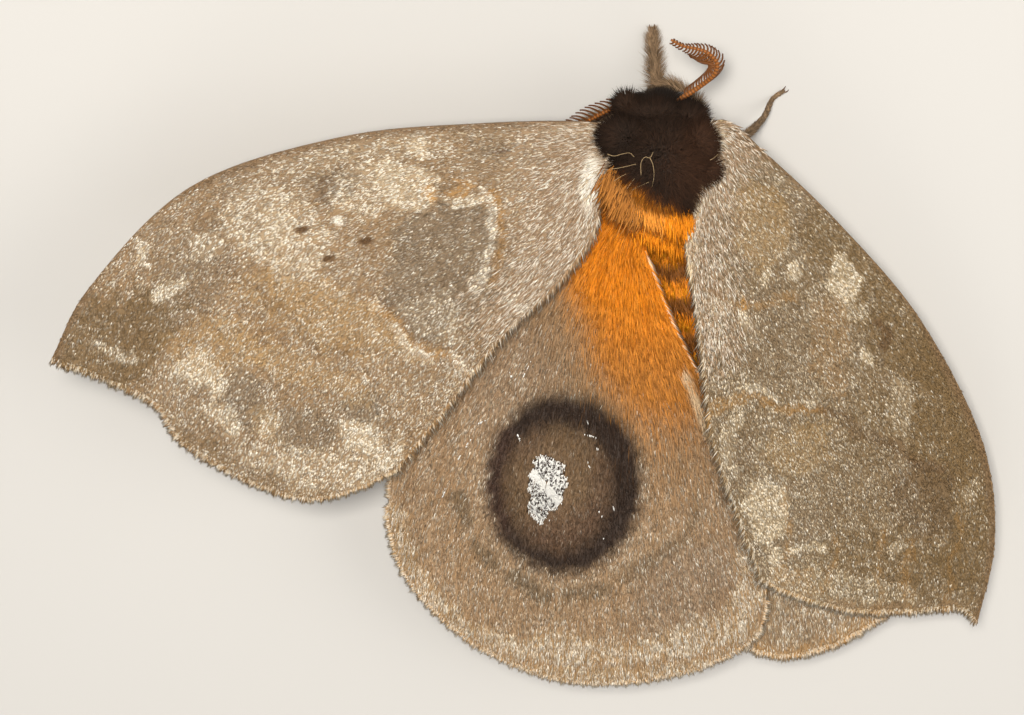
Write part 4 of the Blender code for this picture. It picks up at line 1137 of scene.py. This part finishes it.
def stray_hairs():
    """A few long pale hairs curled over the pile."""
    parts = []
    for line in CURLS:
        path = []
        for x, y in line:
            away = FORWARD * FOCAL + np.array((1.0, 0, 0)) * (x - PICTURE[0] / 2)
            away = away - UPWARD * (y - PICTURE[1] / 2)
            height = CURL_HEIGHT - 0.034 * (np.hypot(x - CURL_TOP[0], y - CURL_TOP[1])) ** 1.05
            path.append(EYE_POINT + away * (height - EYE_POINT[2]) / away[2])
        parts.append((*tube(through(path, 16), np.linspace(0.018, 0.011, 16), 5), PAINT["pale_hair"]))
    new_piece("stray_hairs", "pile", FUR, *joined(parts))


def head_coat(count=7000):
    """Short forward hair over the head, clear of the eyes."""
    draw = np.random.default_rng(303)
    out = unit(spread_ball(count) + draw.normal(0, 0.03, (count, 3)))
    root = np.array(HEAD) + out * (np.array(HEAD_HALF) - HEAD_COAT)
    clear = np.linalg.norm((root - THORAX) / THORAX_HALF, axis=1) > 1.02
    for side in (-1, 1):
        clear &= np.linalg.norm(root - beside_head(side, EYE_OUT), axis=1) > EYE_RADIUS + 0.12
    root, out = root[clear], out[clear]
    normal = unit(out / np.array(HEAD_HALF))
    count = len(root)
    lie = np.array((0.0, 0.7, -0.7)) + draw.normal(0, 0.35, (count, 3)) + out * 0.2
    brow = ease((out[:, 2] - 0.1) / 0.3) * ease((np.abs(out[:, 0]) - 0.35) / 0.2)
    parting = np.column_stack((np.sign(out[:, 0]) * 2.4, np.full(count, 0.1), np.full(count, 0.3)))
    lie = lie + parting * brow[:, None]
    low = ease((0.35 - out[:, 2]) / 0.7)[:, None]
    colour = PAINT["pile"] + (PAINT["limb"] - PAINT["pile"]) * draw.uniform(0, 0.6, (count, 1)) * low
    colour = colour * draw.uniform(0.7, 1.3, (count, 1))
    tufts("head_coat", "pile", FUR, root, lie, normal, draw.uniform(0.5, 0.95, count) * (1 + 1.1 * brow),
          draw.uniform(0.06, 0.11, count), draw.uniform(0.3, 0.7, count), 0.3, colour, colour * 1.4,
          round_map(out))


def round_path(path, spot, angle):
    """Directions ahead, aside, up and out at given angles, for spots along a path."""
    ahead = unit(np.gradient(path, axis=0))[spot]
    side = unit(np.cross(ahead, (0, 0, 1)))
    top = np.cross(side, ahead)
    return ahead, side, top, side * np.cos(angle)[:, None] + top * np.sin(angle)[:, None]


def belly_coat(count=15000):
    """Short hair back along the abdomen, all round it."""
    draw = np.random.default_rng(305)
    path, widths = abdomen_rings(200)
    share = draw.choice(200, count, p=(widths + 0.2) / np.sum(widths + 0.2))
    angle = draw.uniform(0, 2 * pi, count)
    ahead, side, top, _ = round_path(path, share, angle)
    c, s = np.cos(angle)[:, None], np.sin(angle)[:, None]
    root = path[share] + (side * c + top * s * ABDOMEN_FLAT) * widths[share][:, None]
    normal = unit(side * c * ABDOMEN_FLAT + top * s)
    lie = ahead + side * draw.normal(0, 0.15, (count, 1)) + top * draw.normal(0, 0.1, (count, 1))
    # Painted light: the coat is far lighter than the skin's colours, against the shade the wings cast on the
    # abdomen
    colour = np.minimum(belly_colour(root + ahead * 0.5) * draw.uniform(1.05, 1.85, (count, 1)), 1)
    tufts("belly_coat", "belly", FUR, root, lie, normal, draw.uniform(0.8, 1.5, count),
          draw.uniform(0.08, 0.13, count), draw.uniform(0.3, 0.5, count), 0.15, colour,
          np.minimum(colour * 1.25, 1), on_map(share / 200, angle / (2 * pi)))


def leg_coat(count=2800):
    """Hair along the legs and palps, longest on the thigh and smallest on the foot."""
    draw = np.random.default_rng(307)
    roots, lies, normals, longs, lifts, maps = [], [], [], [], [], []
    limbs = [(leg_points(points), leg_radii(name)) for name, points in LEGS.items()]
    limbs += [([beside_head(side, place) for place in PALP], PALP_RADII) for side in (-1, 1)]
    for number, (points, sizes) in enumerate(limbs):
        leg = number < len(LEGS)
        many = count if leg else 500
        path = through(points, 200)
        spot = draw.integers(0, 200, many)
        angle = draw.uniform(0, 2 * pi, many)
        ahead, _, _, out = round_path(path, spot, angle)
        radius = np.interp(spot / 199, np.linspace(0, 1, len(sizes)), sizes)[:, None]
        place = path[spot] + out * radius
        place[:, 2] = np.maximum(place[:, 2], 0.04)
        roots.append(place)
        normals.append(out)
        lies.append(ahead + draw.normal(0, 0.2, (many, 3)))
        longs.append(np.interp(spot / 199, (0, 0.55, 0.7, 1), (0.9, 0.7, 0.32, 0.22)) if leg
                     else np.full(many, 0.4))
        lifts.append(draw.uniform(0.2, 0.5, many))
        if sizes is FORELEG_RADII:
            longs[-1] = np.interp(spot / 199, (0, 0.5, 0.85, 1), (0.9, 1.2, 1.1, 0.5))
            lifts[-1] = lifts[-1] + 0.5
        maps.append(on_map((number + angle / (2 * pi)) / len(limbs), spot / 200))
    root, lie, normal, uv = (np.vstack(x) for x in (roots, lies, normals, maps))
    total = len(root)
    long = np.concatenate(longs) * draw.uniform(0.7, 1.2, total)
    lift = np.concatenate(lifts)
    low = root[:, 2] < 1.6 * long + 0.1
    normal[low, 2] = np.abs(normal[low, 2])
    lie[low, 2] = np.abs(lie[low, 2])
    root[low, 2] = np.maximum(root[low, 2], 0.12)
    colour = PAINT["limb"] * draw.uniform(0.5, 1.35, (total, 1))
    tufts("limb_coat", "limb", FUR, root, lie, normal, long, draw.uniform(0.07, 0.12, total), lift, 0.15,
          colour, colour * 1.35, uv, sink=0.03)


body_skin()
thorax_coat()
rump_tufts()
stray_hairs()
head_coat()
belly_coat()
leg_coat()


# Eyes
def eyes():
    """Dark faceted eyes, each a separate glossy ball."""
    finish, shader = new_finish("eye_facets", Roughness=0.28, Specular_IOR_Level=0.25, Coat_Weight=0.12,
                                Coat_Roughness=0.1)
    facets = texture(finish, "TexVoronoi", 0.07, Randomness=0.25)
    ramp = new_node(finish, "ValToRGB")
    ramp.color_ramp.elements[0].color = (*PAINT["eye"] * 2.4, 1)
    ramp.color_ramp.elements[1].color = (*PAINT["eye"] * 0.6, 1)
    ramp.color_ramp.elements[1].position = 0.7
    finish.node_tree.links.new(facets.outputs["Distance"], ramp.inputs["Fac"])
    finish.node_tree.links.new(ramp.outputs["Color"], shader.inputs["Base Color"])
    add_relief(finish, shader, facets.outputs["Distance"], 0.5, 0.02).invert = True
    for side, name in ((-1, "eye_left"), (1, "eye_right")):
        vertices, faces = ball(beside_head(side, EYE_OUT), (EYE_RADIUS,) * 3, 64, 40)
        piece = new_piece(name + "_ball", "eye", finish, vertices, faces,
                          np.broadcast_to(PAINT["eye"], vertices.shape))
        piece.data.polygons.foreach_set("use_smooth", np.ones(len(faces), bool))
        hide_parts(name)


# Antennae
HORN = material("horn", 0.5, bump=0.4, bump_size=0.1, specular=0.25)
SHAFT_JOINTS = 36


def antenna(name, points, rises, base=1.0, outer=1.0, tip=1.0, lean=1.0):
    """An orange-brown shaft of short joints, and on each side a row of fine, bent rami, which rise by so
    much near its base and near its tip. They have a share of their length near its base, on its outer
    side and near its tip, and lean ahead by a share of their bend."""
    steps = np.linspace(0, 1, 160)
    radii = np.interp(steps, (0, 1), SHAFT_RADII) * (1 - 0.15 * (np.cos(steps * 2 * pi * SHAFT_JOINTS) > 0.4))
    vertices, faces = tube(through(points, 160), radii, 12)
    stripes = np.repeat(np.cos(steps * 2 * pi * SHAFT_JOINTS), 12)[:, None]
    shade = PAINT["horn"][None] * (0.75 - 0.45 * stripes)
    parts = [(vertices, faces, np.vstack((shade, PAINT["horn"], PAINT["horn"])))]
    path = through(points, 301)
    fade = np.repeat(np.linspace(0.5, 1, 9), 5)[:, None]
    tint = np.vstack((mix("horn", "horn_dark", fade), PAINT["horn"], PAINT["horn_dark"]))
    draw = np.random.default_rng(411)
    first, last = RAMI_SPAN[name]
    for row in np.linspace(0, 1, RAMI[name]):
        share = first + (last - first) * row
        spot = round(share * 300)
        ahead = unit(path[min(spot + 3, 300)] - path[spot - 3])
        size = RAMUS_LENGTH * (0.5 + 0.5 * sin(pi * min(1, 0.12 + row) ** 0.8))
        size = size * (base + (1 - base) * ease((share - 0.3) / 0.25))
        size = size * (1 - (1 - tip) * ease((share - 0.6) / 0.37))
        for side in (-1, 1):
            rise = rises[side][0] + (rises[side][1] - rises[side][0]) * ease((share - 0.35) / 0.2)
            out = unit(np.cross(ahead, (0, 0, 1))) * side + np.array((0, 0, rise))
            out = unit(out - ahead * (out @ ahead))
            third = np.cross(out, ahead) * side
            bend = np.array(RAMUS_BEND) * (1, lean * draw.uniform(0.85, 1.15), 1)
            reach = (bend[:, :1] * out + bend[:, 1:2] * ahead + bend[:, 2:] * third) * size
            reach = path[spot] + reach * (outer if side > 0 else 1)
            parts.append((*tube(through(reach, 9), np.linspace(0.1, 0.06, 9), 5), tint))
    piece = new_piece(name + "_fine", "antenna", HORN, *joined(parts))
    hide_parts(name)


eyes()
antenna("antenna_left", ANTENNA_LEFT, {-1: (-2.5, -2.5), 1: (0.5, 0.5)}, lean=0.6)
antenna("antenna_right", ANTENNA_RIGHT, {-1: (-2.2, -0.4), 1: (-2.6, -1.6)}, base=0.6, outer=0.6, tip=0.45)


# Camera, light and floor
LAMPS = (("key", (-0.035, 0.17, 0.385), 0.1, 2.15), ("fill", (0.35, 0.05, 0.30), 0.35, 0.85),
         ("rear", (-0.1, -0.4, 0.25), 0.3, 0.5))     # place in metres, size and power
WARM = (1.0, 0.945, 0.865)
FLOOR = (0.53, 0.525, 0.515)
SURROUND = 0.24              # strength of the even light from all round


def stage():
    """The photograph's camera, three soft lamps and a plain floor."""
    middle = np.array((*MIDDLE, 0))
    scene = bpy.context.scene
    camera = bpy.data.cameras.new("camera")
    camera.sensor_width = SENSOR
    camera.lens = FOCAL / PICTURE[0] * SENSOR
    camera.clip_start = 0.01
    camera.clip_end = 5
    holder = bpy.data.objects.new("camera", camera)
    holder.matrix_world = Matrix.Translation(Vector((EYE_POINT - middle) * MM)) @ \
        Matrix(((1, 0, 0), (0, UPWARD[1], -FORWARD[1]), (0, UPWARD[2], -FORWARD[2]))).to_4x4()
    scene.collection.objects.link(holder)
    scene.camera = holder

    bpy.ops.mesh.primitive_plane_add(size=3)
    floor = bpy.context.object
    floor.name = "floor"
    finish, _ = new_finish("floor", Base_Color=(*FLOOR, 1), Roughness=0.9)
    floor.data.materials.append(finish)

    for name, place, size, power in LAMPS:
        lamp = bpy.data.lights.new(name, "AREA")
        lamp.size = size
        lamp.color = WARM
        lamp.energy = power
        thing = bpy.data.objects.new(name, lamp)
        thing.location = place
        aim = Vector(LOOKED_AT * MM) - Vector(place)
        thing.rotation_euler = aim.to_track_quat("-Z", "Y").to_euler()
        scene.collection.objects.link(thing)
    world = bpy.data.worlds.new("studio")
    world.use_nodes = True
    light = world.node_tree.nodes["Background"]
    light.inputs["Color"].default_value = (1, 1, 1, 1)
    light.inputs["Strength"].default_value = SURROUND
    scene.world = world
    scene.view_settings.view_transform = "Standard"


stage()
